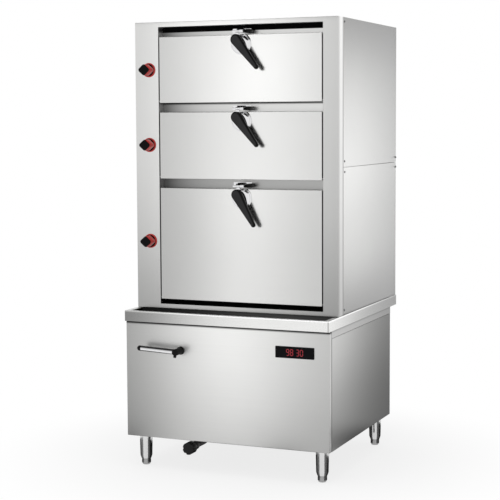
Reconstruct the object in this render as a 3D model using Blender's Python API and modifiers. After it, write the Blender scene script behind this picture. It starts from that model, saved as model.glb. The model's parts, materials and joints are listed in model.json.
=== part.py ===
"""Seafood steamer cabinet: three drop-down steam chambers on a worktop and a boiler base.

Sizes are in metres. +Z is up, the front faces -Y, +X is to the right seen from the front,
and the feet stand on Z = 0 under the middle of the whole object.
"""

import math

import bmesh
import bpy
from mathutils import Matrix, Vector

# Overall size
WIDTH = 0.900
DEPTH = 0.900
HEIGHT = 1.850
WORKTOP_HEIGHT = 0.660
BASE_UNDERSIDE = 0.133

# Sheet metal, clearances and cutting
SHEET = 0.0015
SEAT = 0.0003
RUNNING = 0.0005
BEND_RADIUS = 0.0025
OVERRUN = 0.020
WELD_LAP = 0.0008
MERGE = 0.00001

# Worktop with its drip trough
WORKTOP_EDGE = 0.044
FRONT_RIM = 0.015
SIDE_RIM = 0.022
TROUGH_DEPTH = 0.028
TROUGH_TO_CABINET = 0.004

# Boiler base
BASE_SIDE_INSET = 0.002
BASE_SETBACK = 0.0095
BASE_BACK_INSET = 0.0855
FRONT_PANEL_RETURN = 0.025
TOP_BAND = 0.029
PANEL_SEAM = 0.0015
FLOOR_RECESS = 0.015
POST = 0.022
BEARER_WIDTH = 0.014

# Legs and levelling feet
LEG_SIDE_INSET = 0.0535
FRONT_LEG_INSET = 0.066
BACK_LEG_INSET = 0.050
LEG_TOP_RADIUS = 0.0275
LEG_RADIUS = 0.0252
LEG_NECK_RADIUS = 0.0205
LEG_NECK_HEIGHT = 0.013
LEG_PLATE = 0.080
LEG_PLATE_THICKNESS = 0.003
FOOT_HEIGHT = 0.026
FOOT_RADIUS = 0.0190
FOOT_PAD_RADIUS = 0.0150
FOOT_SHOULDER = 0.005
FOOT_STEM_RADIUS = 0.0080
FOOT_STEM_LENGTH = 0.045

# Steam cabinet
CABINET_SIDE_INSET = 0.003
CABINET_BACK_INSET = 0.003
CABINET_SETBACK = 0.115
FRAME_DEPTH = 0.065
LEFT_STILE = 0.107
RIGHT_STILE = 0.064
TOP_RAIL = 0.021
BOTTOM_RAIL = 0.020
PANEL_RETURN = 0.012
SIDE_SEAM_HEIGHT = 1.255
SIDE_SEAM = 0.001
FLANGE_SETBACK = 0.045
FLANGE_LAP = 0.014

# Doors, from the top down; the lowest takes what is left of the opening
DOOR_DEPTH = 0.040
DOOR_SIDE_GAP = 0.0045
ABOVE_DOORS = 0.040
BELOW_DOORS = 0.0195
RAIL_GAP = 0.038
TOP_DOOR_HEIGHT = 0.272
MIDDLE_DOOR_HEIGHT = 0.275
HINGE_BEHIND_FACE = 0.010
HINGE_ABOVE_EDGE = 0.008
HINGE_ROD_RADIUS = 0.003
HINGE_ROD_GRIP = 0.006
DOOR_PLUG_INSET = 0.042
DOOR_PLUG_DEPTH = 0.008
GASKET_INSET = 0.012
GASKET_WIDTH = 0.012

# Chambers
WINDOW_INSET = 0.030
CHAMBER_BACK_GAP = 0.060
TOP_FLANGE_RAIL = 0.0215
SEAL_THICKNESS = 0.006
SEAL_WIDTH = 0.010
SEAL_LAP = 0.008
SEAL_LIP = 0.005
LEDGE_WIDTH = 0.014
LEDGE_THICKNESS = 0.003
LEDGE_HEIGHT = 0.045
LEDGE_END_GAP = 0.030
STEAM_PORT_RADIUS = 0.008

# Perforated racks
RACK_EDGE_GAP = 0.004
RACK_RIM = 0.012
RACK_SLOT_ROWS = 4
RACK_SLOT_COLUMNS = 7
SLOT_WEB = 0.014

# Door latches and their keepers
LATCH_X = 0.025
PIVOT_BELOW_DOOR_TOP = 0.022
LATCH_LEAN_DEGREES = (37, 37, 30)
HOUSING_RADIUS = 0.044
HOUSING_THICKNESS = 0.015
HOUSING_SHOULDER = 0.006
HOUSING_OFFSET_X = 0.008
HOUSING_DROP = 0.0145
LATCH_SPINDLE_RADIUS = 0.007
LATCH_SPINDLE_GRIP = 0.010
TONGUE_THICKNESS = 0.005
TONGUE_ROOT_RADIUS = 0.015
TONGUE_TIP_RADIUS = 0.006
TONGUE_REACH = 0.034
LEVER_HEAD_RADIUS = 0.022
LEVER_TIP_RADIUS = 0.009
LEVER_LENGTH = 0.146
LEVER_THICKNESS = 0.022
LEVER_TIP_THICKNESS = 0.014
LEVER_EDGE = 0.003
KEEPER_WIDTH = 0.092
KEEPER_HEIGHT = 0.0215
KEEPER_PLATE = 0.003
KEEPER_ABOVE_DOOR = 0.0045
KEEPER_POST_WIDTH = 0.016
KEEPER_POST_GAP = 0.011
KEEPER_BAR = 0.007
KEEPER_BAR_HEIGHT = 0.013
KEEPER_BAR_REACH = 0.040

# Steam knobs on the left stile and the pipe behind them
KNOB_FROM_SIDE = 0.065
KNOB_DISC_RADIUS = 0.0295
KNOB_DISC_THICKNESS = 0.009
KNOB_REACH = 0.052
KNOB_GRIP_HALF_HEIGHT = 0.0265
KNOB_GRIP_HALF_WIDTH = 0.0235
KNOB_GRIP_ROUND = 0.006
KNOB_EDGE = 0.0025
KNOB_ABOVE_MIDDLE = (0.0003, 0.0022, 0.0100)
SHAFT_RADIUS = 0.005
VALVE_RADIUS = 0.020
VALVE_HEIGHT = 0.040
RISER_RADIUS = 0.011
RISER_BEHIND_FACE = 0.078

# Display on the base
DISPLAY_WIDTH = 0.165
DISPLAY_HEIGHT = 0.047
DISPLAY_RIGHT_INSET = 0.063
DISPLAY_TOP_DROP = 0.066
DISPLAY_BEZEL = 0.0025
DISPLAY_BODY_DEPTH = 0.022
DISPLAY_BODY_INSET = 0.006

# Power lever on the base
POWER_HUB_FROM_SIDE = 0.250
POWER_HUB_DROP = 0.111
POWER_HUB_RADIUS = 0.0135
POWER_REACH = 0.057
POWER_BAR_RADIUS = 0.011
POWER_BAR_LENGTH = 0.177
POWER_BAR_BACK = 0.014
POWER_BAR_TILT_DEGREES = 2.5
POWER_CAP_LENGTH = 0.008
POWER_FINGER_RADIUS = 0.0045
POWER_FINGER_LENGTH = 0.011
POWER_FINGER_TURN_DEGREES = 18
POWER_COLLAR_RADIUS = 0.017
POWER_COLLAR_THICKNESS = 0.004

# Drain valve under the base
DRAIN_FROM_SIDE = 0.275
DRAIN_HEIGHT = 0.0955
DRAIN_PIPE_RADIUS = 0.014
DRAIN_BEND_RADIUS = 0.035
DRAIN_DROP_INSET = 0.050
DRAIN_BODY_RADIUS = 0.021
DRAIN_BODY_LENGTH = 0.042
DRAIN_KNOB_SETBACK = 0.010
DRAIN_KNOB_RADIUS = 0.026
DRAIN_KNOB_LENGTH = 0.036
DRAIN_KNOB_LOBES = 6
DRAIN_LOBE_RADIUS = 0.006

# Boiler parts inside the base
TANK_FRONT_GAP = 0.150
TANK_BACK_GAP = 0.148
TANK_HEIGHT = 0.240
TANK_UNDERSIDE = 0.300
TANK_LEFT_GAP = 0.030
TANK_TO_MODULE = 0.106
COIL_RADIUS = 0.170
COIL_TO_DRAIN = 0.0215
COIL_THICKNESS = 0.018
COIL_STAND_RADIUS = 0.045
MODULE_WIDTH = 0.180
MODULE_DEPTH = 0.360
MODULE_HEIGHT = 0.260
MODULE_RIGHT_GAP = 0.060

# Turned pieces
FINE_STEPS = 32
COARSE_STEPS = 16
ARC_STEPS = 6

# Places worked out from the sizes
LEVER_PAST_WORKTOP = POWER_REACH - BASE_SETBACK
WORKTOP_FRONT = (LEVER_PAST_WORKTOP - DEPTH) / 2
WORKTOP_BACK = WORKTOP_FRONT + DEPTH
WORKTOP_HALF = WIDTH / 2
WORKTOP_UNDERSIDE = WORKTOP_HEIGHT - WORKTOP_EDGE
TROUGH_UNDERSIDE = WORKTOP_HEIGHT - TROUGH_DEPTH - SHEET
BASE_FRONT = WORKTOP_FRONT + BASE_SETBACK
BASE_BACK = WORKTOP_BACK - BASE_BACK_INSET
BASE_HALF = WIDTH / 2 - BASE_SIDE_INSET
BAND_BOTTOM = WORKTOP_UNDERSIDE - TOP_BAND
FLOOR_UNDERSIDE = BASE_UNDERSIDE + FLOOR_RECESS
FLOOR_TOP = FLOOR_UNDERSIDE + SHEET
CABINET_FRONT = WORKTOP_FRONT + CABINET_SETBACK
CABINET_BACK = WORKTOP_BACK - CABINET_BACK_INSET
CABINET_HALF = WIDTH / 2 - CABINET_SIDE_INSET
CABINET_BOTTOM = WORKTOP_HEIGHT + SEAT
FRAME_BACK = CABINET_FRONT + FRAME_DEPTH
OPENING_LEFT = LEFT_STILE - CABINET_HALF
OPENING_RIGHT = CABINET_HALF - RIGHT_STILE
OPENING_TOP = HEIGHT - TOP_RAIL
OPENING_BOTTOM = WORKTOP_HEIGHT + BOTTOM_RAIL
FLANGE_FRONT = CABINET_FRONT + FLANGE_SETBACK
FLANGE_BACK = FLANGE_FRONT + SHEET
DOOR_LEFT = OPENING_LEFT + DOOR_SIDE_GAP
DOOR_RIGHT = OPENING_RIGHT - DOOR_SIDE_GAP
DOOR_BACK = CABINET_FRONT + DOOR_DEPTH
HINGE_Y = CABINET_FRONT + HINGE_BEHIND_FACE
TOP_DOOR_TOP = OPENING_TOP - ABOVE_DOORS
MIDDLE_DOOR_TOP = TOP_DOOR_TOP - TOP_DOOR_HEIGHT - RAIL_GAP
BOTTOM_DOOR_TOP = MIDDLE_DOOR_TOP - MIDDLE_DOOR_HEIGHT - RAIL_GAP
DOOR_SPANS = (
    (TOP_DOOR_TOP - TOP_DOOR_HEIGHT, TOP_DOOR_TOP),
    (MIDDLE_DOOR_TOP - MIDDLE_DOOR_HEIGHT, MIDDLE_DOOR_TOP),
    (OPENING_BOTTOM + BELOW_DOORS, BOTTOM_DOOR_TOP),
)
FLANGE_TOP = TOP_DOOR_TOP + (ABOVE_DOORS - TOP_FLANGE_RAIL)
FLANGE_BOTTOM = OPENING_BOTTOM + BELOW_DOORS
CHAMBER_LEFT = DOOR_LEFT + WINDOW_INSET
CHAMBER_RIGHT = DOOR_RIGHT - WINDOW_INSET
CHAMBER_BACK = CABINET_BACK - CHAMBER_BACK_GAP
CHAMBER_SPANS = tuple((low + WINDOW_INSET, high - WINDOW_INSET) for low, high in DOOR_SPANS)
KNOB_X = KNOB_FROM_SIDE - CABINET_HALF
KNOB_HEIGHTS = tuple(
    (low + high) / 2 + rise for (low, high), rise in zip(DOOR_SPANS, KNOB_ABOVE_MIDDLE)
)
RISER_Y = CABINET_FRONT + RISER_BEHIND_FACE
TANK_TOP = TANK_UNDERSIDE + TANK_HEIGHT
TANK_LEFT = TANK_LEFT_GAP - BASE_HALF
MODULE_RIGHT = BASE_HALF - MODULE_RIGHT_GAP
MODULE_LEFT = MODULE_RIGHT - MODULE_WIDTH
TANK_RIGHT = MODULE_LEFT - TANK_TO_MODULE
TANK_FRONT = BASE_FRONT + TANK_FRONT_GAP
TANK_BACK = BASE_BACK - TANK_BACK_GAP
DRAIN_X = DRAIN_FROM_SIDE - BASE_HALF
DRAIN_DROP_Y = TANK_FRONT + DRAIN_DROP_INSET
COIL_Y = DRAIN_DROP_Y + DRAIN_PIPE_RADIUS + COIL_TO_DRAIN + COIL_RADIUS
LEG_X = BASE_HALF - LEG_SIDE_INSET
LEG_FRONT_Y = BASE_FRONT + FRONT_LEG_INSET
LEG_BACK_Y = BASE_BACK - BACK_LEG_INSET
LEG_TOP = FLOOR_UNDERSIDE - SEAT
TONGUE_BACK = CABINET_FRONT - SEAT - HOUSING_THICKNESS - SEAT
TONGUE_FRONT = TONGUE_BACK - TONGUE_THICKNESS
LEVER_BACK = TONGUE_FRONT - SEAT
POWER_HUB_X = POWER_HUB_FROM_SIDE - BASE_HALF
POWER_HUB_Z = WORKTOP_UNDERSIDE - POWER_HUB_DROP
HUB_BACK = BASE_FRONT - RUNNING
HUB_FRONT = BASE_FRONT - POWER_REACH

# Blender collections
PARTS = bpy.data.collections.new("seafood_steamer_cabinet")
CUTTERS = bpy.data.collections.new("cutters")


def clear_scene():
    for old in list(bpy.data.objects):
        bpy.data.objects.remove(old, do_unlink=True)
    bpy.context.scene.collection.children.link(PARTS)
    bpy.context.scene.collection.children.link(CUTTERS)
    CUTTERS.hide_render = True


# Materials


def material(name, colour, metallic, roughness):
    made = bpy.data.materials.get(name)
    if made is None:
        made = bpy.data.materials.new(name)
        made.use_nodes = True
        shader = made.node_tree.nodes["Principled BSDF"]
        shader.inputs["Base Color"].default_value = (*colour, 1)
        shader.inputs["Metallic"].default_value = metallic
        shader.inputs["Roughness"].default_value = roughness
        made.diffuse_color = (*colour, 1)
    return made


def brushed_steel():
    return material("brushed stainless steel", (0.78, 0.78, 0.77), 1.0, 0.32)


def plain_steel():
    return material("plain stainless sheet", (0.66, 0.66, 0.65), 1.0, 0.45)


def polished_steel():
    return material("polished stainless tube", (0.80, 0.80, 0.80), 1.0, 0.12)


def chrome():
    return material("chrome plate", (0.86, 0.86, 0.87), 1.0, 0.07)


def black_plastic():
    return material("black moulded plastic", (0.025, 0.025, 0.027), 0.0, 0.38)


def red_plastic():
    return material("red moulded plastic", (0.45, 0.03, 0.02), 0.0, 0.30)


def black_rubber():
    return material("black silicone rubber", (0.012, 0.012, 0.012), 0.0, 0.60)


def brass():
    return material("nickel-plated brass", (0.62, 0.55, 0.38), 1.0, 0.35)


def black_glass():
    return material("black display glass", (0.01, 0.01, 0.01), 0.0, 0.08)


# Making objects


def world_place(obj):
    """Where an object's origin is in the world, under parents that are moved but never turned."""
    return obj.location + world_place(obj.parent) if obj else Vector()


def settle(obj, made_of, origin, parent, collection=PARTS):
    """Links the object with its origin at a place in the world, under its parent."""
    collection.objects.link(obj)
    obj.parent = parent
    obj.location = Vector(origin) - world_place(parent)
    if collection is CUTTERS:
        obj.hide_render = True
        obj.display_type = "WIRE"
    if made_of:
        obj.data.materials.append(made_of)
    return obj


def pivot(name, place, parent=None):
    """An empty on a joint's axis, which carries the pieces that move with it."""
    return settle(bpy.data.objects.new(name, None), None, place, parent)


def mesh_object(name, build, made_of, origin, parent=None, collection=PARTS):
    """An object whose mesh is filled by build(bm), in its own frame."""
    mesh = bpy.data.meshes.new(name)
    bm = bmesh.new()
    build(bm)
    bmesh.ops.recalc_face_normals(bm, faces=bm.faces)
    bm.to_mesh(mesh)
    bm.free()
    return settle(bpy.data.objects.new(name, mesh), made_of, origin, parent, collection)


def middle(low, high):
    return (Vector(low) + Vector(high)) / 2


def span(low, high):
    return Vector(high) - Vector(low)


def block(name, low, high, made_of, parent=None, collection=PARTS):
    """A solid block between two corners."""

    def build(bm):
        bmesh.ops.create_cube(bm, size=1)
        bmesh.ops.scale(bm, vec=span(low, high), verts=bm.verts)

    return mesh_object(name, build, made_of, middle(low, high), parent, collection)


def pan(name, low, high, open_side, made_of, parent=None, bend=BEND_RADIUS):
    """A folded sheet pan between two corners, open on the side that open_side points to."""

    def build(bm):
        bmesh.ops.create_cube(bm, size=1)
        bmesh.ops.scale(bm, vec=span(low, high), verts=bm.verts)
        bm.normal_update()
        lid = max(bm.faces, key=lambda face: face.normal.dot(Vector(open_side)))
        bmesh.ops.delete(bm, geom=[lid], context="FACES_ONLY")

    obj = mesh_object(name, build, made_of, middle(low, high), parent)
    if obj.data.polygons[0].normal.dot(obj.data.polygons[0].center) < 0:
        obj.data.flip_normals()
    if bend:
        folds = obj.modifiers.new("folds", "BEVEL")
        folds.width = bend
        folds.segments = 2
    shell = obj.modifiers.new("sheet", "SOLIDIFY")
    shell.thickness = SHEET
    shell.offset = -1
    shell.use_even_offset = True
    return obj


def rod(bm, centre, radius, length, axis, steps):
    """Adds a plain rod along one axis to a mesh that is being built."""
    turn = {
        "X": Matrix.Rotation(math.pi / 2, 4, "Y"),
        "Y": Matrix.Rotation(math.pi / 2, 4, "X"),
        "Z": Matrix.Identity(4),
    }[axis]
    bmesh.ops.create_cone(
        bm,
        cap_ends=True,
        segments=steps,
        radius1=radius,
        radius2=radius,
        depth=length,
        matrix=Matrix.Translation(centre) @ turn,
    )


def cylinder(name, centre, radius, length, axis, steps, made_of=None, parent=None, collection=CUTTERS):
    def build(bm):
        rod(bm, (0, 0, 0), radius, length, axis, steps)

    return mesh_object(name, build, made_of, centre, parent, collection)


def turned(name, profile, steps, made_of, origin, facing, parent=None, closed=False, collection=PARTS):
    """A turned shape from (radius, height) points that run down the outer side, its axis along facing."""
    mesh = bpy.data.meshes.new(name)
    edges = [(i, i + 1) for i in range(len(profile) - 1)]
    if closed:
        edges.append((len(profile) - 1, 0))
    mesh.from_pydata([(radius, 0, height) for radius, height in profile], edges, [])
    obj = settle(bpy.data.objects.new(name, mesh), made_of, origin, parent, collection)
    obj.rotation_euler = {"up": (0, 0, 0), "front": (math.pi / 2, 0, 0)}[facing]
    screw = obj.modifiers.new("turn", "SCREW")
    screw.steps = steps
    screw.render_steps = steps
    screw.use_merge_vertices = True
    screw.merge_threshold = MERGE
    return obj


def outline_plate(name, outline, low_y, high_y, made_of, origin, parent=None, edge=0, collection=PARTS):
    """A flat piece with an outline in X and Z, from low_y to high_y, its long edges broken by edge."""

    def build(bm):
        corners = [bm.verts.new((x, low_y - origin[1], z)) for x, z in outline]
        face = bm.faces.new(corners)
        grown = bmesh.ops.extrude_face_region(bm, geom=[face])
        moved = [item for item in grown["geom"] if isinstance(item, bmesh.types.BMVert)]
        bmesh.ops.translate(bm, vec=(0, high_y - low_y, 0), verts=moved)
        if edge:
            rims = [e for e in bm.edges if abs(e.verts[0].co.y - e.verts[1].co.y) < MERGE]
            bmesh.ops.bevel(
                bm, geom=rims, offset=edge, segments=2, profile=0.5, affect="EDGES", material=-1
            )

    return mesh_object(name, build, made_of, origin, parent, collection)


def combine(obj, other, operation):
    step = obj.modifiers.new(operation.lower(), "BOOLEAN")
    step.operation = operation
    step.solver = "EXACT"
    step.object = other
    return obj


def cut_box(obj, low, high):
    return combine(obj, block(obj.name + ".cut", low, high, None, collection=CUTTERS), "DIFFERENCE")


def cut_hole(obj, centre, radius, length, axis, steps=COARSE_STEPS):
    hole = cylinder(obj.name + ".hole", centre, radius, length, axis, steps)
    return combine(obj, hole, "DIFFERENCE")


def cut_holes(obj, centres, radius, length, axis, steps=COARSE_STEPS):
    """Cuts several equal holes with one cutter."""

    def build(bm):
        for centre in centres:
            rod(bm, centre, radius, length, axis, steps)

    holes = mesh_object(obj.name + ".holes", build, None, (0, 0, 0), collection=CUTTERS)
    return combine(obj, holes, "DIFFERENCE")


def weld_box(obj, low, high):
    return combine(obj, block(obj.name + ".weld", low, high, None, collection=CUTTERS), "UNION")


def frame_cutter(name, low, high, inner_low, inner_high):
    """A box with a box-shaped core left standing in it."""
    ring = block(name + ".ring", low, high, None, collection=CUTTERS)
    core = block(name + ".core", inner_low, inner_high, None, collection=CUTTERS)
    return combine(ring, core, "DIFFERENCE")


def arc(centre, radius, start, end, steps):
    """Points on an arc in X and Z, with angles in radians from +X towards +Z."""
    return [
        (
            centre[0] + radius * math.cos(start + (end - start) * i / steps),
            centre[1] + radius * math.sin(start + (end - start) * i / steps),
        )
        for i in range(steps + 1)
    ]


def rounded_rectangle(low, high, radius):
    """Outline of a rectangle with rounded corners, in X and Z."""
    points = []
    for quarter, (x, z) in enumerate(
        (
            (high[0] - radius, high[1] - radius),
            (low[0] + radius, high[1] - radius),
            (low[0] + radius, low[1] + radius),
            (high[0] - radius, low[1] + radius),
        )
    ):
        start = quarter * math.pi / 2
        points += arc((x, z), radius, start, start + math.pi / 2, 2)
    return points


def teardrop(head_radius, tip_radius, length, steps=ARC_STEPS):
    """Outline of two unlike circles joined by their tangents, head at the origin and tip along +X."""
    reach = length - tip_radius
    slope = math.acos((head_radius - tip_radius) / reach)
    head = arc((0, 0), head_radius, slope, 2 * math.pi - slope, 2 * steps)
    tip = arc((reach, 0), tip_radius, -slope, slope, steps)
    return head + tip


def turned_outline(outline, degrees):
    angle = math.radians(degrees)
    return [
        (x * math.cos(angle) - z * math.sin(angle), x * math.sin(angle) + z * math.cos(angle))
        for x, z in outline
    ]


# Base


def make_worktop():
    """Folded top with a raised rim, a drip trough in front of the cabinet and a hole for the riser."""
    top = pan(
        "worktop",
        (-WORKTOP_HALF, WORKTOP_FRONT, WORKTOP_UNDERSIDE),
        (WORKTOP_HALF, WORKTOP_BACK, WORKTOP_HEIGHT),
        (0, 0, -1),
        brushed_steel(),
    )
    trough_side = WORKTOP_HALF - SIDE_RIM
    trough_front = WORKTOP_FRONT + FRONT_RIM
    trough_back = CABINET_FRONT - TROUGH_TO_CABINET
    weld_box(
        top,
        (-trough_side - SHEET, trough_front - SHEET, TROUGH_UNDERSIDE),
        (trough_side + SHEET, trough_back + SHEET, WORKTOP_HEIGHT - SHEET / 2),
    )
    cut_box(
        top,
        (-trough_side, trough_front, TROUGH_UNDERSIDE + SHEET),
        (trough_side, trough_back, WORKTOP_HEIGHT + OVERRUN),
    )
    cut_hole(top, (KNOB_X, RISER_Y, WORKTOP_HEIGHT), RISER_RADIUS + SEAT, OVERRUN, "Z")


def make_chassis():
    """Floor plate, four posts, the band under the worktop and two bearers, welded into one frame."""
    ring_top = TROUGH_UNDERSIDE - SEAT
    ring_front = BASE_FRONT + FRONT_PANEL_RETURN + PANEL_SEAM
    chassis = block(
        "base_chassis",
        (-BASE_HALF, ring_front, BAND_BOTTOM),
        (BASE_HALF, BASE_BACK, ring_top),
        plain_steel(),
    )
    cut_box(
        chassis,
        (-BASE_HALF + SHEET, ring_front + SHEET, BAND_BOTTOM - OVERRUN),
        (BASE_HALF - SHEET, BASE_BACK - SHEET, ring_top + OVERRUN),
    )
    inner_half = BASE_HALF - SHEET - SEAT
    panel_back = BASE_FRONT + SHEET + SEAT
    shell_back = BASE_BACK - SHEET - SEAT
    post_half = BASE_HALF - SHEET - BEND_RADIUS
    for side in (-1, 1):
        lap = side * (inner_half + SEAT + WELD_LAP)
        outer = side * post_half
        inner = side * (post_half - POST)
        for low_y, high_y in ((panel_back, ring_front + POST), (shell_back - POST, shell_back)):
            weld_box(
                chassis,
                (min(outer, inner), low_y, FLOOR_UNDERSIDE + SHEET / 2),
                (max(outer, inner), high_y, BAND_BOTTOM + POST),
            )
            weld_box(
                chassis,
                (min(lap, inner), max(low_y, ring_front + SHEET / 2), BAND_BOTTOM + SHEET),
                (max(lap, inner), high_y - SHEET, BAND_BOTTOM + POST - SHEET),
            )
        bearer = side * (inner_half - BEARER_WIDTH)
        weld_box(
            chassis,
            (min(lap, bearer), CABINET_FRONT, BAND_BOTTOM + POST + SHEET),
            (max(lap, bearer), shell_back, ring_top - SHEET),
        )
        rise = side * inner_half
        weld_box(
            chassis,
            (min(rise, bearer), CABINET_FRONT + SHEET, ring_top - SHEET - WELD_LAP),
            (max(rise, bearer), shell_back - SHEET, WORKTOP_HEIGHT - SHEET - SEAT),
        )
    weld_box(
        chassis,
        (-post_half - BEND_RADIUS + SEAT, panel_back + SHEET, FLOOR_UNDERSIDE),
        (post_half + BEND_RADIUS - SEAT, shell_back, FLOOR_TOP),
    )
    cut_hole(chassis, (DRAIN_X, DRAIN_DROP_Y, FLOOR_TOP), DRAIN_PIPE_RADIUS + SEAT, OVERRUN, "Z")


def make_base_shell():
    """Wrap-round sheet that closes both sides and the back of the base."""
    shell = block(
        "base_shell",
        (-BASE_HALF, BASE_FRONT + FRONT_PANEL_RETURN + PANEL_SEAM, BASE_UNDERSIDE),
        (BASE_HALF, BASE_BACK, BAND_BOTTOM - PANEL_SEAM),
        brushed_steel(),
    )
    cut_box(
        shell,
        (-BASE_HALF + SHEET, BASE_FRONT, BASE_UNDERSIDE - OVERRUN),
        (BASE_HALF - SHEET, BASE_BACK - SHEET, BAND_BOTTOM + OVERRUN),
    )


def make_front_panel():
    """Front pan of the base, with holes for the display and the power lever's spindle."""
    panel = pan(
        "base_front_panel",
        (-BASE_HALF, BASE_FRONT, BASE_UNDERSIDE),
        (BASE_HALF, BASE_FRONT + FRONT_PANEL_RETURN, WORKTOP_UNDERSIDE - SEAT),
        (0, 1, 0),
        brushed_steel(),
    )
    low, high = display_face()
    inset = DISPLAY_BODY_INSET - SEAT
    cut_box(
        panel,
        (low[0] + inset, BASE_FRONT - OVERRUN, low[1] + inset),
        (high[0] - inset, BASE_FRONT + SHEET + BEND_RADIUS, high[1] - inset),
    )
    cut_hole(
        panel, (POWER_HUB_X, BASE_FRONT, POWER_HUB_Z), SHAFT_RADIUS + RUNNING, FRONT_PANEL_RETURN, "Y"
    )


def display_face():
    """Lower left and upper right corner of the display, in X and Z."""
    right = BASE_HALF - DISPLAY_RIGHT_INSET
    top = WORKTOP_UNDERSIDE - DISPLAY_TOP_DROP
    return (right - DISPLAY_WIDTH, top - DISPLAY_HEIGHT), (right, top)


def make_display():
    """Display: a flanged face on the panel and a body that goes through it."""
    low, high = display_face()
    display = block(
        "display_module",
        (low[0], BASE_FRONT - SEAT - DISPLAY_BEZEL, low[1]),
        (high[0], BASE_FRONT - SEAT, high[1]),
        black_glass(),
    )
    weld_box(
        display,
        (low[0] + DISPLAY_BODY_INSET, BASE_FRONT - SEAT - SHEET, low[1] + DISPLAY_BODY_INSET),
        (high[0] - DISPLAY_BODY_INSET, BASE_FRONT + DISPLAY_BODY_DEPTH, high[1] - DISPLAY_BODY_INSET),
    )


def make_power_lever():
    """Black hub and spindle with a chrome bar across its front end, turning about Y."""
    axis = pivot("power_lever_axis", (POWER_HUB_X, BASE_FRONT, POWER_HUB_Z))
    reach = POWER_REACH - RUNNING
    shaft = FRONT_PANEL_RETURN
    profile = [
        (0, reach),
        (POWER_HUB_RADIUS - BEND_RADIUS, reach),
        (POWER_HUB_RADIUS, reach - BEND_RADIUS),
        (POWER_HUB_RADIUS, POWER_COLLAR_THICKNESS),
        (POWER_COLLAR_RADIUS, POWER_COLLAR_THICKNESS),
        (POWER_COLLAR_RADIUS, 0),
        (SHAFT_RADIUS, 0),
        (SHAFT_RADIUS, -shaft),
        (0, -shaft),
    ]
    hub = turned(
        "power_lever_hub",
        profile,
        FINE_STEPS,
        black_plastic(),
        (POWER_HUB_X, HUB_BACK, POWER_HUB_Z),
        "front",
        axis,
    )
    bar_y = HUB_FRONT + POWER_BAR_BACK
    finger_turn = math.radians(POWER_FINGER_TURN_DEGREES)
    finger_reach = POWER_HUB_RADIUS - WELD_LAP + POWER_FINGER_LENGTH / 2
    finger = cylinder(
        "power_lever_hub.finger",
        (
            POWER_HUB_X - finger_reach * math.sin(finger_turn),
            bar_y,
            POWER_HUB_Z - finger_reach * math.cos(finger_turn),
        ),
        POWER_FINGER_RADIUS,
        POWER_FINGER_LENGTH + WELD_LAP,
        "Z",
        COARSE_STEPS,
    )
    finger.rotation_euler = (0, finger_turn, 0)
    combine(hub, finger, "UNION")
    bar = turned(
        "power_lever_bar",
        bar_profile(),
        FINE_STEPS,
        chrome(),
        (POWER_HUB_X, bar_y, POWER_HUB_Z),
        "up",
        axis,
    )
    bar.rotation_euler = (0, -math.radians(90 - POWER_BAR_TILT_DEGREES), 0)
    cut_hole(
        bar, (POWER_HUB_X, bar_y, POWER_HUB_Z), POWER_HUB_RADIUS + SEAT, POWER_REACH, "Y", FINE_STEPS
    )


def bar_profile():
    """Straight bar with a rounded outer end, from the hub's side outwards."""
    inner = POWER_HUB_RADIUS / 2
    steps = ARC_STEPS
    end = POWER_BAR_LENGTH - POWER_CAP_LENGTH
    dome = [
        (
            POWER_BAR_RADIUS * math.sin(math.pi / 2 * i / steps),
            end + POWER_CAP_LENGTH * math.cos(math.pi / 2 * i / steps),
        )
        for i in range(steps + 1)
    ]
    return dome + [(POWER_BAR_RADIUS, inner), (0, inner)]


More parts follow.
